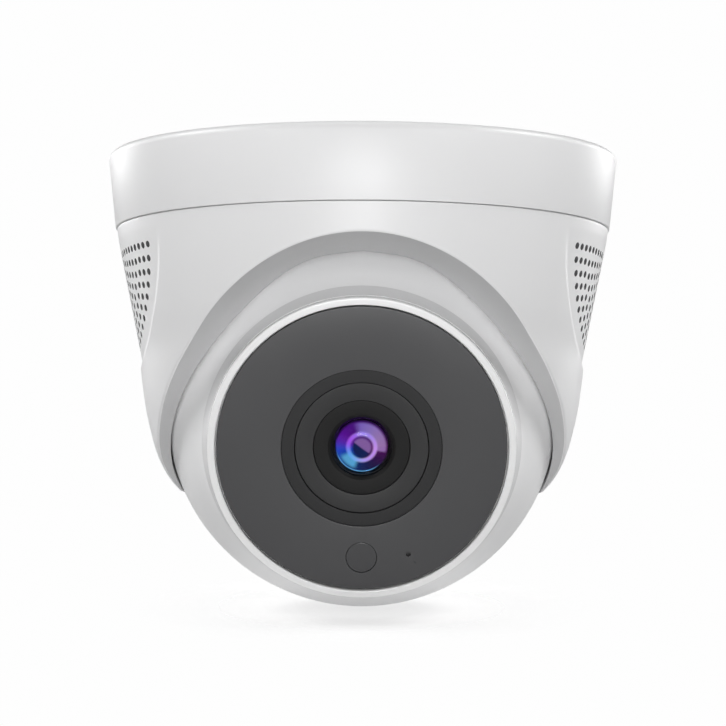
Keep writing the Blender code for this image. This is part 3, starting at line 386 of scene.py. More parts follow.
# A darker white for the collar's outer side: painted shade.
COLLAR_PAINTED_SHADE = plastic("collar_painted_shade", (0.76, 0.76, 0.765), 0.4, grain=0.00025, bump=0.05)
BRIGHT = plastic("bright_ring", (0.97, 0.97, 0.97), 0.2, bump=0.02, variation=0.01, coat=0.5)
PANEL = plastic("smoked_panel", (0.079, 0.079, 0.082), 0.3, grain=0.0004, bump=0.02,
                variation=0.1, specular=0.35)
WINDOW = plastic("smoked_window", (0.071, 0.071, 0.074), 0.25, bump=0.01, specular=0.35)
SHROUD = plastic("shroud_rubber", (0.033, 0.033, 0.034), 0.6, grain=0.0002, bump=0.15,
                 specular=0.25)
FOCUS = plastic("focus_ring_black", (0.034, 0.034, 0.035), 0.45, grain=0.0002, bump=0.1,
                specular=0.3)
HOOD = plastic("lens_hood_black", (0.008, 0.008, 0.008), 0.5, grain=0.0002, bump=0.1,
               specular=0.25)
BLACK = plastic("black_plastic", (0.02, 0.02, 0.021), 0.5, bump=0.12, variation=0.1)
NYLON = plastic("inner_nylon", (0.5, 0.5, 0.49), 0.5, bump=0.08, variation=0.05)
CHIP = plastic("chip_black", (0.018, 0.018, 0.018), 0.38, grain=0.0002, bump=0.15)
RUBBER = plastic("black_rubber", (0.025, 0.025, 0.025), 0.75, grain=0.0004, bump=0.3,
                 variation=0.2)
STEEL = metal("plated_steel", (0.62, 0.62, 0.6), 0.34)
BRASS = metal("turned_brass", (0.7, 0.52, 0.24), 0.32)
ALUMINIUM = metal("bare_aluminium", (0.72, 0.73, 0.74), 0.4)
CIRCUIT = circuit("circuit_board")
CLOTH = woven("dust_cloth", (0.035, 0.035, 0.036), 0.00032)
GLASS = clear_glass("clear_glass", (0.96, 0.95, 1.0), 1.12)
FILTER = clear_glass("filter_glass", (0.55, 0.75, 0.8), 1.5)

FINISHES = {
    "white_plastic": WHITE, "bright_ring": BRIGHT, "dark_panel": PANEL, "black_plastic": BLACK,
    "inner_nylon": NYLON, "plated_steel": STEEL, "brass": BRASS, "aluminium": ALUMINIUM,
    "circuit_board": CIRCUIT, "chip_black": CHIP, "rubber": RUBBER, "lens_glass": FILTER,
    "dust_mesh": CLOTH,
}


def finish_frame():
    """Gives every CAD node the finish of its slot in the record."""
    for part in frame["record"]["subparts"]:
        slots = NODES[part["node"]].data.materials
        slots.clear()
        slots.append(FINISHES[part["material_slot"]])


# Mesh building


def piece(name, shape, finish, body, replaced=(), sharp=35):
    """Makes a finished piece of a bmesh. It rides on a body and stands for CAD nodes."""
    mesh = bpy.data.meshes.new(name)
    shape.to_mesh(mesh)
    shape.free()
    mesh.shade_smooth()
    mesh.set_sharp_from_angle(angle=math.radians(sharp))
    mesh.materials.append(finish)
    obj = bpy.data.objects.new(name, mesh)
    bpy.context.scene.collection.objects.link(obj)
    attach(obj, body)
    if replaced:
        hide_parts(*replaced)
    return obj


def eased(profile, radius, closed=True, steps=4):
    """A profile with its corners rounded, each by no more than its sides allow."""
    made = []
    count = len(profile)
    for i, corner in enumerate(profile):
        if not closed and i in (0, count - 1):
            made.append(corner)
            continue
        here = Vector(corner)
        back = Vector(profile[i - 1]) - here
        ahead = Vector(profile[(i + 1) % count]) - here
        angle = back.angle(ahead)
        if angle > math.radians(165):
            made.append(corner)
            continue
        cut = min(radius / math.tan(angle / 2), 0.45 * back.length, 0.45 * ahead.length)
        start, end = here + back.normalized() * cut, here + ahead.normalized() * cut
        for step in range(steps + 1):
            t = step / steps
            made.append(tuple(start * (1 - t) ** 2 + here * 2 * t * (1 - t) + end * t * t))
    return made


def turned(profile, steps, turn=STILL, closed=True, sweep=math.tau):
    """A bmesh of a profile in (radius, height) spun about its axis, then put in place."""
    shape = bmesh.new()
    points = [shape.verts.new((radius, 0, height)) for radius, height in profile]
    pairs = list(zip(points, points[1:])) + ([(points[-1], points[0])] if closed else [])
    edges = [shape.edges.new(pair) for pair in pairs]
    whole = sweep == math.tau
    if not whole:
        edges.append(shape.faces.new(points))
    bmesh.ops.spin(shape, geom=points + edges, axis=(0, 0, 1), cent=(0, 0, 0), angle=sweep,
                   steps=steps, use_merge=whole)
    bmesh.ops.remove_doubles(shape, verts=shape.verts, dist=MM / 1000)
    bmesh.ops.recalc_face_normals(shape, faces=shape.faces)
    bmesh.ops.transform(shape, matrix=turn, verts=shape.verts)
    return shape


def cylinder(shape, radius, low, high, steps, place=STILL):
    """Adds a capped cylinder, along its own Z, to a bmesh."""
    middle = place @ Matrix.Translation((0, 0, (low + high) / 2))
    bmesh.ops.create_cone(shape, cap_ends=True, segments=steps, radius1=radius, radius2=radius,
                          depth=high - low, matrix=middle)


def cut(obj, tool):
    """Cuts a tool shape out of a piece for good, and keeps its sharp edges."""
    mesh = bpy.data.meshes.new("tool")
    bmesh.ops.recalc_face_normals(tool, faces=tool.faces)
    tool.to_mesh(mesh)
    tool.free()
    helper = bpy.data.objects.new("tool", mesh)
    bpy.context.scene.collection.objects.link(helper)
    modifier = obj.modifiers.new("cut", "BOOLEAN")
    modifier.object = helper
    modifier.operation = "DIFFERENCE"
    modifier.solver = "EXACT"
    graph = bpy.context.evaluated_depsgraph_get()
    result = bpy.data.meshes.new_from_object(obj.evaluated_get(graph))
    obj.modifiers.clear()
    bpy.data.objects.remove(helper)
    obj.data = result
    result.shade_smooth()
    result.set_sharp_from_angle(angle=math.radians(35))
    return obj


def arc(radius, start, end, steps):
    """Points of a round about the origin, between two angles above the radius line."""
    angles = [start + (end - start) * i / steps for i in range(steps + 1)]
    return [(radius * math.cos(angle), radius * math.sin(angle)) for angle in angles]


# Base

EASE = 0.3 * MM
_, BASE_RADIUS, BASE_LOW, _ = reach("base_ring")
_, PLATE_RADIUS, PLATE_LOW, _ = reach("mounting_plate")
_, SEAM_RADIUS, RIM_Z, SHELL_TOP = reach("shell")
BASE_WALL = 2.2 * MM
BASE_FILLET = 1.6 * MM
SEAM_ROUND = 0.15 * MM
BASE_DRAFT = math.tan(math.radians(5.3))
LEDGE_DEPTH, LEDGE_WIDTH = 2 * MM, 5 * MM
PLATE_STEP, PLATE_RIM, PLATE_SLOPE = 0.35 * MM, 9 * MM, 1 * MM
PLATE_SCREWS, SCREW_CIRCLE, SCREW_HOLE, FIRST_SCREW = 3, 26 * MM, 2.3 * MM, 30
CABLE_HOLE = 6.5 * MM


def make_base_ring():
    """The tapered ring against the ceiling, with its inner ledge and flange."""
    seam = BASE_LOW - EASE / 2
    low_radius = BASE_RADIUS + seam * BASE_DRAFT
    ledge = PLATE_LOW - EASE

    def inner(z):
        return BASE_RADIUS + z * BASE_DRAFT - BASE_WALL

    top = [(BASE_RADIUS - BASE_FILLET + x, z - BASE_FILLET)
           for x, z in arc(BASE_FILLET, math.pi / 2, 0, 8)]
    under = ledge - LEDGE_DEPTH
    lip = inner(under) - LEDGE_WIDTH
    rest = eased([(low_radius, seam), (inner(seam), seam), (inner(under), under), (lip, under),
                  (lip, ledge), (inner(ledge), ledge), (inner(0), 0)], 0.28 * MM, closed=False)
    rounded_edge = [(low_radius + 0.01 * MM, seam + SEAM_ROUND),
                    (low_radius - 0.04 * MM, seam + 0.04 * MM),
                    (low_radius - SEAM_ROUND, seam)]
    shape = turned(top + rounded_edge + rest[1:], FINE)
    piece("base_ring_fine", shape, WHITE, "base", ["base_ring"])


def make_mounting_plate():
    """A pressed steel plate with a raised rim, its screw holes and the cable hole."""
    profile = eased([(PLATE_RADIUS, 0), (PLATE_RADIUS, PLATE_LOW),
                     (0, PLATE_LOW)], 0.2 * MM, closed=False)
    rim = PLATE_RADIUS - PLATE_RIM
    face = eased([(0, -PLATE_STEP), (rim, -PLATE_STEP), (rim - PLATE_SLOPE, 0),
                  (PLATE_RADIUS, 0)], 0.3 * MM, closed=False)
    shape = turned(face[:-1] + profile, FINE, closed=False)
    plate = piece("mounting_plate_fine", shape, STEEL, "base",
                  ["mounting_plate"])
    tool = bmesh.new()
    for screw in range(PLATE_SCREWS):
        angle = math.radians(FIRST_SCREW + 360 / PLATE_SCREWS * screw)
        spot = Matrix.Translation((SCREW_CIRCLE * math.cos(angle),
                                   SCREW_CIRCLE * math.sin(angle), 0))
        cylinder(tool, SCREW_HOLE, PLATE_LOW * 2, MM, COARSE, spot)
    low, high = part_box("cable_grommet")
    cylinder(tool, CABLE_HOLE, PLATE_LOW * 2, MM, COARSE,
             Matrix.Translation((0, (low.y + high.y) / 2, 0)))
    cut(plate, tool)


def make_grommet():
    """The rubber sleeve that the lead would come through."""
    low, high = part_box("cable_grommet")
    centre = Matrix.Translation((0, (low.y + high.y) / 2, 0))
    flange = (high.x - low.x) / 2
    neck, taper, bore = 6.1 * MM, 4.8 * MM, 3.4 * MM
    top, seat = high.z + 0.2 * MM, PLATE_LOW - EASE
    under = seat - 1.5 * MM
    profile = [(neck, top), (neck, seat), (flange, seat), (flange, under),
               (neck - 0.1 * MM, under), (taper, low.z), (bore, low.z), (bore, top)]
    shape = turned(eased(profile, 0.4 * MM), COARSE * 2, centre)
    piece("cable_grommet_fine", shape, RUBBER, "base", ["cable_grommet"])


# Shell

COLUMNS, WALL_ROWS, EAVE_ROWS, BACK_ROWS = 540, 84, 10, 14
BALL_ROOM = 0.4 * MM
CLEAR_RADIUS = reach("ball_front_shell", BALL_TURN)[1] + BALL_ROOM
CAVITY_RADIUS = 37.5 * MM
BOWL_TOP = BALL_CENTRE.z - 4.6 * MM
SHELL_WALL = 1.8 * MM
EDGE_ROUND = 0.5 * MM
LIP_SKIN = 2.6 * MM
SCOOP_RADIUS = 25.8 * MM
SCOOP_DEPTH = 0.55 * MM
SCOOP_FADE = 0.15 * MM
SCOOP_EDGE = 0.9 * MM
FLANK = ((0, 0), (0.17, 0.15), (0.32, 0.26), (0.5, 0.52), (0.75, 0.8), (1, 1))
PIVOT_RADIUS = SEAM_RADIUS - 5.6 * MM
BOWL_SHARES = (0.25, 0.5, 0.65, 0.8, 0.9, 1)
BOWL_TAPER, BOWL_TUCK, BOWL_CURVE = 0.22, 2.95 * MM, 3.6
LIP_FLOOR, LIP_RISE, LIP_CURVE = -0.616, 1.402, 2.36
EAVE_FRONT_FALL, EAVE_SIDE_CLIMB = 0.06, 0.25
EAVE_TURNS = math.radians(4), math.radians(38)
SHADED_EAVE_ROWS = (WALL_ROWS + 5, WALL_ROWS + EAVE_ROWS + 7)
EAVE_SHADE_SLOT, HOLE_SHADE_SLOT = 1, 2
HOLE_RADIUS, HOLE_SIDES, HOLE_PITCH = 0.62 * MM, 12, 2.6 * MM
HOLE_ROWS, ROW_STEP, OUTER_ROW, FIRST_ROW = 10, 1.75 * MM, 22.2 * MM, 5.2 * MM
HOLES_CENTRE, HOLES_DEPTH = 42 * MM, 8 * MM
CLOTH_ROWS, CLOTH_THICKNESS = 12, 0.35 * MM


def flank_control():
    """Heights and radii that the shell's outer face runs through, from the seam down."""
    rise = SHELL_TOP - BALL_CENTRE.z
    span = SEAM_RADIUS - PIVOT_RADIUS
    points = [(BALL_CENTRE.z + share * rise, PIVOT_RADIUS + span * flare)
              for share, flare in reversed(FLANK)]
    drop = BALL_CENTRE.z - RIM_Z
    for share in BOWL_SHARES:
        depth = drop * share
        points.append((BALL_CENTRE.z - depth,
                       PIVOT_RADIUS - BOWL_TAPER * depth - BOWL_TUCK * share**BOWL_CURVE))
    return points


CONTROL = flank_control()
HEIGHTS = np.array([height for height, _ in CONTROL])
RADII = np.array([radius for _, radius in CONTROL])
SLOPES = np.gradient(RADII, HEIGHTS)


def shell_radius(z):
    """The outer face's radius: one smooth line through the control heights."""
    z = min(max(z, HEIGHTS[-1]), HEIGHTS[0])
    i = min(int(np.searchsorted(-HEIGHTS, -z, side="right")) - 1, len(HEIGHTS) - 2)
    high, low = HEIGHTS[i], HEIGHTS[i + 1]
    span = low - high
    t = (z - high) / span
    return float(RADII[i] * (1 + 2 * t) * (1 - t) ** 2 + SLOPES[i] * span * t * (1 - t) ** 2
                 + RADII[i + 1] * t * t * (3 - 2 * t) + SLOPES[i + 1] * span * t * t * (t - 1))


def smooth(value, low, high):
    """0 below low, 1 above high and smooth between."""
    share = min(max((value - low) / (high - low), 0), 1)
    return share * share * (3 - 2 * share)


def scooped(radius, z, azimuth):
    """The outer face with its half-round side recesses pressed in."""
    y = radius * math.cos(azimuth)
    inside = SCOOP_RADIUS - math.hypot(y, z - SHELL_TOP)
    if inside <= -SCOOP_EDGE or z > SHELL_TOP:
        return radius
    top = shell_radius(SHELL_TOP) + SCOOP_FADE
    bottom = shell_radius(SHELL_TOP - SCOOP_RADIUS) - SCOOP_DEPTH
    floor = top + (bottom - top) * (SHELL_TOP - z) / SCOOP_RADIUS
    press = smooth(inside, -SCOOP_EDGE / 3, SCOOP_EDGE * 2 / 3)
    return radius - press * max(0, radius - floor)


def lip_height(azimuth):
    """Height of the opening's lip: highest over the lens, level with the rim behind."""
    share = ((1 + math.cos(azimuth)) / 2) ** LIP_CURVE
    ball = CLEAR_RADIUS - BALL_ROOM
    return max(BALL_CENTRE.z + ball * (LIP_FLOOR + LIP_RISE * share), RIM_Z)


def lip_slope(azimuth):
    """Fall of the hood's inner face towards the ball, for each step inwards."""
    return EAVE_FRONT_FALL - EAVE_SIDE_CLIMB * smooth(abs(azimuth), *EAVE_TURNS)


def on_clear_ball(z):
    """The point of the ball's room at a height."""
    return math.sqrt(CLEAR_RADIUS**2 - (z - BALL_CENTRE.z) ** 2), z


def clear_of_ball(radius, z, slope):
    """Where the hood's inner face, running inwards from the lip, meets the ball's room."""
    offset = z - slope * radius - BALL_CENTRE.z
    square = 1 + slope * slope
    inner = (slope * offset) ** 2 - square * (offset * offset - CLEAR_RADIUS**2)
    end = (-slope * offset + math.sqrt(max(inner, 0))) / square
    return end, z + slope * (end - radius)


def cavity_radius(z):
    """The inner wall: round the ball low down, then one wall inside the outer face."""
    if z < BOWL_TOP:
        return on_clear_ball(z)[0]
    return max(shell_radius(z) - SHELL_WALL, CAVITY_RADIUS)


def bent(start, corner, end, steps):
    """Points of a soft corner, its ends left out."""
    start, corner, end = Vector(start), Vector(corner), Vector(end)
    return [tuple(start * (1 - t) ** 2 + corner * 2 * t * (1 - t) + end * t * t)
            for t in (i / steps for i in range(1, steps))]


def shell_section(azimuth):
    """The shell cut at one azimuth, as (radius, height) down the outside and back up inside."""
    lip_z = lip_height(azimuth)
    lip_radius = shell_radius(lip_z)
    slope = lip_slope(azimuth)
    end_radius, end_z = clear_of_ball(lip_radius, lip_z, slope)
    width = lip_radius - end_radius
    ease = min(EDGE_ROUND, 0.4 * width)
    wall_top, wall_low = SHELL_TOP - SEAM_ROUND, lip_z + ease
    wall = [wall_top + (wall_low - wall_top) * i / (WALL_ROWS - 1) for i in range(WALL_ROWS)]
    outside = [(scooped(shell_radius(z), z, azimuth), z) for z in wall]
    rows = [(outside[0][0] - SEAM_ROUND, SHELL_TOP)]
    rows += bent(rows[0], (outside[0][0], SHELL_TOP), outside[0], 3)
    rows += outside
    eave = [(lip_radius - ease, lip_z - slope * ease),
            (end_radius + ease / 2, end_z + slope * ease / 2)]
    rows += bent(outside[-1], (lip_radius, lip_z), eave[0], 4)
    for i in range(EAVE_ROWS):
        t = i / (EAVE_ROWS - 1)
        rows.append(tuple(Vector(eave[0]).lerp(Vector(eave[1]), t)))
    round_end = on_clear_ball(end_z + ease / 2)
    rows += bent(eave[1], (end_radius, end_z), round_end, 3)
    rows.append(round_end)
    rows.append(on_clear_ball(min(end_z + LIP_SKIN, SHELL_TOP - MM)))
    back_low = min(max(lip_z, end_z) + LIP_SKIN + 0.4 * MM, SHELL_TOP - 0.6 * MM)
    for i in range(BACK_ROWS):
        z = back_low + (SHELL_TOP - back_low) * i / (BACK_ROWS - 1)
        rows.append((cavity_radius(z), z))
    return rows


def grille_tool():
    """Small round cutters in half rings, through both sides of the shell."""
    tool = bmesh.new()
    sideways = Matrix.Rotation(math.pi / 2, 4, "Y")
    centre_z = SHELL_TOP + 0.1 * MM
    for row in range(HOLE_ROWS):
        radius = OUTER_ROW - ROW_STEP * row
        start = math.asin(FIRST_ROW / radius)
        sweep = math.pi - 2 * start
        spaces = max(1, round(radius * sweep / HOLE_PITCH))
        for i in range(spaces + 1):
            angle = start + sweep * i / spaces
            y, z = radius * math.cos(angle), centre_z - radius * math.sin(angle)
            for side in (-1, 1):
                spot = Matrix.Translation((side * HOLES_CENTRE, y, z)) @ sideways
                cylinder(tool, HOLE_RADIUS, -HOLES_DEPTH, HOLES_DEPTH, HOLE_SIDES, spot)
    # The cutters' faces line the holes with near-black: painted shade in the bores.
    for face in tool.faces:
        face.material_index = HOLE_SHADE_SLOT
    return tool


def make_shell():
    """The hooded shell: a plain tube, drawn column by column into its section, then pierced."""
    rows = len(shell_section(0))
    tube = turned([(1, row) for row in range(rows)], COLUMNS)
    tube.faces.ensure_lookup_table()
    tube.faces.index_update()
    rows_of = [min(vertex.co.z for vertex in face.verts) for face in tube.faces]
    step = math.tau / COLUMNS
    columns = {}
    for vertex in tube.verts:
        column = round(math.atan2(vertex.co.x, -vertex.co.y) / step)
        if column not in columns:
            columns[column] = shell_section(column * step)
        radius, height = columns[column][round(vertex.co.z)]
        vertex.co = (radius * math.sin(column * step), -radius * math.cos(column * step), height)
    bmesh.ops.recalc_face_normals(tube, faces=tube.faces)
    # The eave rows take the grey white: painted shade on the hood's inner face.
    first_shaded, last_shaded = SHADED_EAVE_ROWS
    for face in tube.faces:
        if first_shaded <= round(rows_of[face.index]) <= last_shaded:
            face.material_index = EAVE_SHADE_SLOT
    shell = piece("shell_fine", tube, WHITE, "shell_body", ["shell"])
    shell.data.materials.append(EAVE_SHADE)
    shell.data.materials.append(HOLE_SHADE)
    cut(shell, grille_tool())


def make_dust_meshes():
    """Dust cloth stretched behind each grille."""
    for side in ("left", "right"):
        low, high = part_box(f"{side}_dust_mesh")
        heights = [low.z + (high.z - low.z) * i / CLOTH_ROWS for i in range(CLOTH_ROWS + 1)]
        outside = [(shell_radius(z) - SHELL_WALL - EASE, z) for z in reversed(heights)]
        inside = [(radius - CLOTH_THICKNESS, z) for radius, z in reversed(outside)]
        span = 2 * math.asin(min(1, (high.y - low.y) / 2 / outside[0][0]))
        facing = math.pi if side == "left" else 0
        shape = turned(outside + inside, COARSE, Matrix.Rotation(facing - span / 2, 4, "Z"),
                       sweep=span)
        piece(f"{side}_dust_cloth", shape, CLOTH, "shell_body",
              [f"{side}_dust_mesh"])


# Eyeball

_, FACE_RADIUS, RING_LOW, FACE_Z = reach("bezel_ring", BALL_TURN)
RING_BORE = reach("bezel_ring", BALL_TURN)[0]
_, BALL_RADIUS, FRONT_LOW, COLLAR_TOP = reach("ball_front_shell", BALL_TURN)
_, _, REAR_LOW, REAR_TOP = reach("ball_rear_shell", BALL_TURN)
BALL_RADIUS = max(BALL_RADIUS, reach("ball_rear_shell", BALL_TURN)[1])
HUB_RADIUS = reach("ball_rear_shell", BALL_TURN)[0]
BALL_WALL = 2 * MM
PARTING_EASE = 0.15 * MM
COLLAR_FLARE, COLLAR_BLEND, COLLAR_ROOT = 1.5 * MM, math.radians(3.5), 2.2 * MM
COLLAR_SHADE = 0.35
SPIGOT_RISE, SPIGOT_WALL, SPIGOT_STEP = 4 * MM, 1.4 * MM, 1.2 * MM


def make_ball():
    """The ball's front half with its raised collar, and its rear half cut flat at the hub."""
    collar_root = FACE_RADIUS + COLLAR_FLARE
    root_angle = math.acos(collar_root / BALL_RADIUS)
    root_z = BALL_RADIUS * math.sin(root_angle)
    parting = REAR_TOP + EASE
    low_angle = math.asin((parting + PARTING_EASE) / BALL_RADIUS)
    root, rim = Vector((collar_root, root_z)), Vector((FACE_RADIUS, COLLAR_TOP))
    collar_start = root + (rim - root).normalized() * COLLAR_ROOT
    sphere = arc(BALL_RADIUS, low_angle, root_angle - COLLAR_BLEND, 60)
    outside = sphere + bent(sphere[-1], root, collar_start, 8)
    outside += [tuple(collar_start.lerp(rim, i / 4)) for i in range(5)]
    inner = BALL_RADIUS - BALL_WALL
    bore = FACE_RADIUS - BALL_WALL
    inside = [(bore, COLLAR_TOP)]
    inside += arc(inner, math.acos(bore / inner), math.radians(4), 24)
    step = math.sqrt(inner * inner - SPIGOT_RISE**2) - EASE
    spigot = step - SPIGOT_WALL
    inside += [(spigot, SPIGOT_STEP), (spigot, FRONT_LOW), (step, FRONT_LOW), (step, parting),
               (BALL_RADIUS * math.cos(low_angle) - PARTING_EASE, parting)]
    shape = turned(outside + inside, FINE, BALL_TURN)
    shade_collar(shape, root_z + COLLAR_SHADE * (COLLAR_TOP - root_z))
    front = piece("ball_front_fine", shape, BALL_LIT_WHITE, "ball",
                  ["ball_front_shell"])
    front.data.materials.append(COLLAR_PAINTED_SHADE)
    top_angle = math.asin((REAR_TOP - PARTING_EASE) / BALL_RADIUS)
    flat = math.asin(REAR_LOW / BALL_RADIUS)
    floor = REAR_LOW + BALL_WALL
    outside = [(BALL_RADIUS - PARTING_EASE, REAR_TOP)] + arc(BALL_RADIUS, top_angle, flat, 60)
    inside = [(HUB_RADIUS, REAR_LOW), (HUB_RADIUS, floor)]
    inside += arc(inner, math.asin(floor / inner), math.asin(REAR_TOP / inner), 30)
    shape = turned(outside + inside, FINE, BALL_TURN)
    piece("ball_rear_fine", shape, BALL_LIT_WHITE, "ball", ["ball_rear_shell"])


def shade_collar(shape, above):
    """Puts the collar's outer side, above a height along the lens's axis, in the second slot, a
    darker white that is painted shade.
    """
    upright = BALL_TURN.inverted()
    for face in shape.faces:
        place = upright @ face.calc_center_median()
        if place.z > above and place.xy.length > FACE_RADIUS - EASE:
            face.material_index = 1


def make_bezel_ring():
    """The bright, slightly crowned ring at the collar's mouth."""
    profile = eased([(RING_BORE, FACE_Z - 0.05 * MM), (FACE_RADIUS, FACE_Z),
                     (FACE_RADIUS, RING_LOW), (RING_BORE, RING_LOW)], 0.35 * MM, steps=6)
    piece("bezel_ring_fine", turned(profile, FINE, BALL_TURN), BRIGHT, "ball",
          ["bezel_ring"])


MICROPHONE_HOLE, MIC_SHADE_RADIUS = 0.45 * MM, 0.44 * MM
WINDOW_GAP, WINDOW_SUNK = 0.05 * MM, 0.06 * MM


def make_panel():
    """The smoked front panel, with its window hole, its microphone hole and the window."""
    _, outer, low, high = reach("front_panel", BALL_TURN)
    bore = reach("lens_shroud", BALL_TURN)[1] + EASE / 10
    profile = eased([(outer, high), (outer, low), (bore, low), (bore, high)], 0.15 * MM)
    panel = piece("front_panel_fine", turned(profile, FINE, BALL_TURN), PANEL, "ball",
                  ["front_panel"])
    window_low, window_high = local_box("sensor_window")
    middle = (window_low + window_high) / 2
    radius = (window_high.x - window_low.x) / 2
    tool = bmesh.new()
    window_spot = BALL_TURN @ Matrix.Translation((middle.x, middle.y, 0))
    cylinder(tool, radius + WINDOW_GAP, low - MM, high + MM, COARSE * 2, window_spot)
    microphone_low, microphone_high = local_box("microphone")
    spot = BALL_TURN @ Matrix.Translation(((microphone_low.x + microphone_high.x) / 2,
                                           (microphone_low.y + microphone_high.y) / 2, 0))
    cylinder(tool, MICROPHONE_HOLE, low - MM, high + MM, SMALL, spot)
    cut(panel, tool)
    # A near-black disc at the back of the microphone hole: painted shade in the hole.
    shade_disc = turned([(0, low + EASE), (MIC_SHADE_RADIUS, low + EASE), (MIC_SHADE_RADIUS, low),
                    (0, low)], SMALL, spot, closed=False)
    piece("microphone_hole_shade", shade_disc, HOLE_SHADE, "ball")
    top = high - WINDOW_SUNK
    disc = turned(eased([(0, top), (radius, top), (radius, low + EASE), (0, low + EASE)],
                        0.2 * MM, closed=False), COARSE * 2, window_spot, closed=False)
    piece("sensor_window_fine", disc, WINDOW, "ball", ["sensor_window"])


def ring(name, cad, finish, top_shape):
    """A turned ring of the lens, with a profile made from its measured sizes."""
    bore, outer, low, high = reach(cad, BALL_TURN)
    profile = top_shape(bore, outer, low, high)
    piece(name, turned(profile, MEDIUM, BALL_TURN), finish, "ball", [cad])


LENS_CROWN, LENS_SKIRT = 1.2 * MM, 0.7 * MM
GLASS_SKIN, PAINTED_DOME_SUNK = 0.06 * MM, 0.1 * MM


def make_lens():
    """The rings round the lens, then the glass over a dome painted with the lens's reflections."""
    ring("lens_shroud_fine", "lens_shroud", SHROUD,
         lambda bore, outer, low, high: eased(
             [(bore, high), (outer, high), (outer, low), (bore, low)], 0.12 * MM))
    ring("focus_ring_fine", "focus_ring", FOCUS,
         lambda bore, outer, low, high: eased(
             [(bore - EASE * 0.8, high - 0.15 * MM), (outer + EASE * 0.6, high),
              (outer + EASE * 0.6, low), (bore - EASE * 0.8, low)], 0.12 * MM))
    ring("lens_hood_fine", "lens_hood", HOOD,
         lambda bore, outer, low, high: eased(
             [(bore, high - 0.5 * MM), (bore + 0.6 * MM, high - 0.1 * MM), (outer, high),
              (outer, low), (bore, low)], 0.12 * MM))
    _, radius, low, high = reach("front_lens", BALL_TURN)
    bulge = (radius * radius + LENS_CROWN * LENS_CROWN) / (2 * LENS_CROWN)

    def dome(size, top, steps=24):
        span = math.asin(size / bulge)
        return [(bulge * math.sin(span * i / steps),
                 top - bulge + bulge * math.cos(span * i / steps)) for i in range(steps + 1)]

    skirt = high - LENS_CROWN - LENS_SKIRT
    outside = dome(radius, high)
    inside = dome(radius - EASE, high - GLASS_SKIN)
    glass = turned(outside + [(radius, skirt), (radius - EASE, skirt)] + inside[::-1],
                   MEDIUM, BALL_TURN, closed=False)
    piece("front_lens_fine", glass, GLASS, "ball", ["front_lens"], sharp=50)
    # A dome just under the glass, painted with the lens's reflections, which glows faintly.
    painted_size = radius - 1.5 * EASE
    foot = low + 0.2 * MM
    stack = dome(painted_size, high - PAINTED_DOME_SUNK) + [(painted_size, foot), (0, foot)]
    reflections_finish = painted_lens_reflections("lens_painted_reflections", radius)
    piece("lens_reflections_fine", turned(stack, MEDIUM, BALL_TURN, closed=False), reflections_finish, "ball",
          sharp=60)


# Setting


FLOOR_TILT, FLOOR_RADIUS = math.radians(9), 0.55
SHADOW_NARROWING = 1.5
SHADOW_FADE, BOUNCE_FADE, BOUNCE = (0.01, 0.065), (0.02, 0.09), 0.25


def make_floor():
    """A plain pale floor that dips forward, because the view is from a little below."""
    normal = Vector((0, -math.sin(FLOOR_TILT), math.cos(FLOOR_TILT)))
    touching = BALL_CENTRE - normal * (BALL_RADIUS + EASE)
    shape = bmesh.new()
    bmesh.ops.create_circle(shape, cap_ends=True, segments=96, radius=FLOOR_RADIUS)
    bmesh.ops.rotate(shape, verts=shape.verts, cent=(0, 0, 0),
                     matrix=Matrix.Rotation(FLOOR_TILT, 3, "X"))
    bmesh.ops.translate(shape, verts=shape.verts, vec=touching)
    mesh = bpy.data.meshes.new("floor")
    shape.to_mesh(mesh)
    shape.free()
    floor = bpy.data.objects.new("floor", mesh)
    bpy.context.scene.collection.objects.link(floor)
    mesh.materials.append(floor_white(touching))


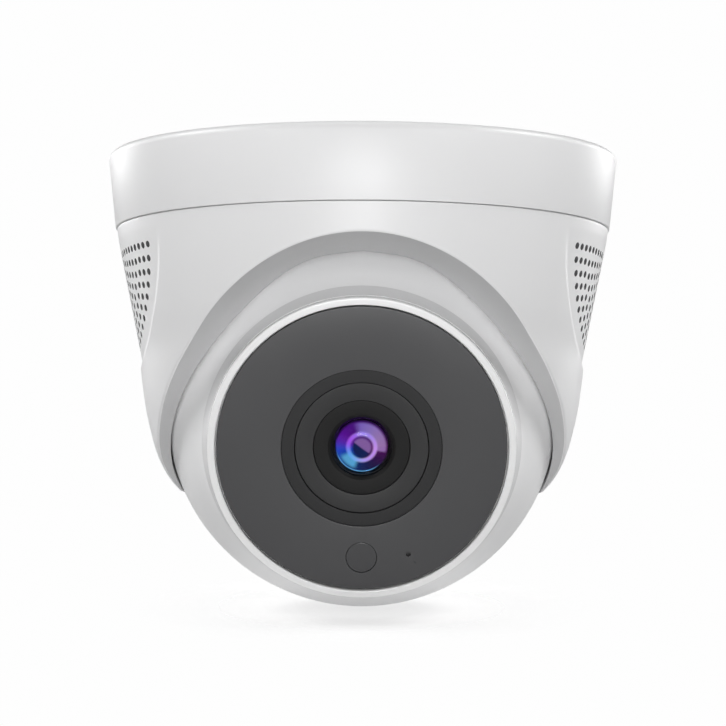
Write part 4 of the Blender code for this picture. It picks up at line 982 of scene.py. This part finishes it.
def floor_white(touching):
    """Matt white that a camera sees only round the ball's shadow, fading into the surround. Near
    the ball it glows for all other rays, a painted bounce light.
    """
    made, tree, shader = material("floor_white")
    place = tree.nodes.new("ShaderNodeTexCoord").outputs["Object"]
    shader.inputs["Base Color"].default_value = (0.5, 0.5, 0.5, 1)
    shader.inputs["Roughness"].default_value = 0.9
    shader.inputs["Specular IOR Level"].default_value = 0.0
    shader.inputs["Emission Color"].default_value = (1, 1, 1, 1)
    bumped(tree, shader, noise(tree, place, 800.0), 0.02, 0.0001)
    shaded = node(tree, "ShaderNodeBsdfDiffuse", {"Color": (0.42, 0.42, 0.42, 1)})
    glow = node(tree, "ShaderNodeEmission", {"Color": (1, 1, 1, 1), "Strength": 0.62})
    pale = node(tree, "ShaderNodeAddShader", {0: shaded.outputs[0], 1: glow.outputs[0]})
    see_through = tree.nodes.new("ShaderNodeBsdfTransparent").outputs[0]
    apart = node(tree, "ShaderNodeVectorMath", {0: place, 1: touching},
                 operation="SUBTRACT").outputs[0]
    narrow = node(tree, "ShaderNodeVectorMath", {0: apart, 1: (SHADOW_NARROWING, 1, 1)},
                  operation="MULTIPLY").outputs[0]
    contact = node(tree, "ShaderNodeVectorMath", {0: narrow},
                   operation="LENGTH").outputs["Value"]
    fade = eased_step(tree, contact, *SHADOW_FADE)
    far = eased_step(tree, contact, *BOUNCE_FADE)
    # Near the ball the floor glows for rays other than the camera's: a painted bounce light on the
    # ball's underside.
    tree.links.new(maths(tree, "MULTIPLY_ADD", far, -BOUNCE, BOUNCE),
                   shader.inputs["Emission Strength"])
    near = node(tree, "ShaderNodeMixShader", {0: fade, 1: pale.outputs[0], 2: see_through})
    rays = tree.nodes.new("ShaderNodeLightPath").outputs["Is Camera Ray"]
    front = node(tree, "ShaderNodeMixShader", {0: rays, 1: shader.outputs[0],
                                               2: near.outputs[0]})
    behind = tree.nodes.new("ShaderNodeNewGeometry").outputs["Backfacing"]
    mix = node(tree, "ShaderNodeMixShader", {0: behind, 1: front.outputs[0], 2: see_through})
    output = tree.nodes["Material Output"]
    tree.links.new(mix.outputs[0], output.inputs["Surface"])
    return made


SOFTBOX_SIZE, SOFTBOX_DISTANCE, LIT_POINT = 0.5, 1.3, Vector((0, 0, -45 * MM))
SIDE_SOFTBOXES = (("near", 35, 15, 2.2), ("high", 100, 45, 9.3), ("rear", 140, 15, 4.6))


def soft_light(name, azimuth, height, power):
    """A round softbox aimed at the ball, placed by its degrees from the front and upwards."""
    across, up = math.radians(azimuth), math.radians(height)
    towards = Vector((math.sin(across) * math.cos(up), -math.cos(across) * math.cos(up),
                      math.sin(up)))
    data = bpy.data.lights.new(name, "AREA")
    data.shape = "DISK"
    data.size = SOFTBOX_SIZE
    data.energy = power
    light = bpy.data.objects.new(name, data)
    light.location = LIT_POINT + towards * SOFTBOX_DISTANCE
    light.rotation_mode = "QUATERNION"
    light.rotation_quaternion = (-towards).to_track_quat("-Z", "Y")
    bpy.context.scene.collection.objects.link(light)


def make_lights():
    """A white surround, a front softbox near the lens's height and pairs at the sides."""
    world = bpy.data.worlds.new("white_surround")
    bpy.context.scene.world = world
    world.use_nodes = True
    tree = world.node_tree
    tree.nodes.clear()
    seen = node(tree, "ShaderNodeBackground", {"Color": (1, 1, 1, 1), "Strength": 0.99})
    around = node(tree, "ShaderNodeBackground", {"Color": (1, 1, 1, 1), "Strength": 0.02})
    rays = tree.nodes.new("ShaderNodeLightPath")
    mix = node(tree, "ShaderNodeMixShader", {0: rays.outputs["Is Camera Ray"],
                                             1: around.outputs[0], 2: seen.outputs[0]})
    output = tree.nodes.new("ShaderNodeOutputWorld")
    tree.links.new(mix.outputs[0], output.inputs[0])
    soft_light("front_softbox", 0, -15, 16)
    for side, sign in (("left", -1), ("right", 1)):
        for name, azimuth, height, power in SIDE_SOFTBOXES:
            soft_light(f"{side}_{name}_softbox", sign * azimuth, height, power)


CAMERA_DISTANCE, CAMERA_RISE, CAMERA_ROLL = 1.0, math.radians(5.46), math.radians(0.22)
CAMERA_TARGET = Vector((0.17 * MM, 0, -38.75 * MM))


def make_camera():
    """A long lens aimed at the middle of the object from a little below it."""
    back = Vector((0, -math.cos(CAMERA_RISE), -math.sin(CAMERA_RISE)))
    data = bpy.data.cameras.new("camera")
    data.sensor_width = 36.0
    data.lens = 268.2
    data.clip_start, data.clip_end = 0.05, 20.0
    camera = bpy.data.objects.new("camera", data)
    camera.location = CAMERA_TARGET + back * CAMERA_DISTANCE
    facing = (-back).to_track_quat("-Z", "Y").to_matrix()
    camera.rotation_euler = (facing @ Matrix.Rotation(CAMERA_ROLL, 3, "Z")).to_euler()
    bpy.context.scene.collection.objects.link(camera)
    bpy.context.scene.camera = camera
    bpy.context.scene.view_settings.view_transform = "Standard"


finish_frame()
make_base_ring()
make_mounting_plate()
make_grommet()
make_shell()
make_dust_meshes()
make_ball()
make_bezel_ring()
make_panel()
make_lens()
make_floor()
make_lights()
make_camera()
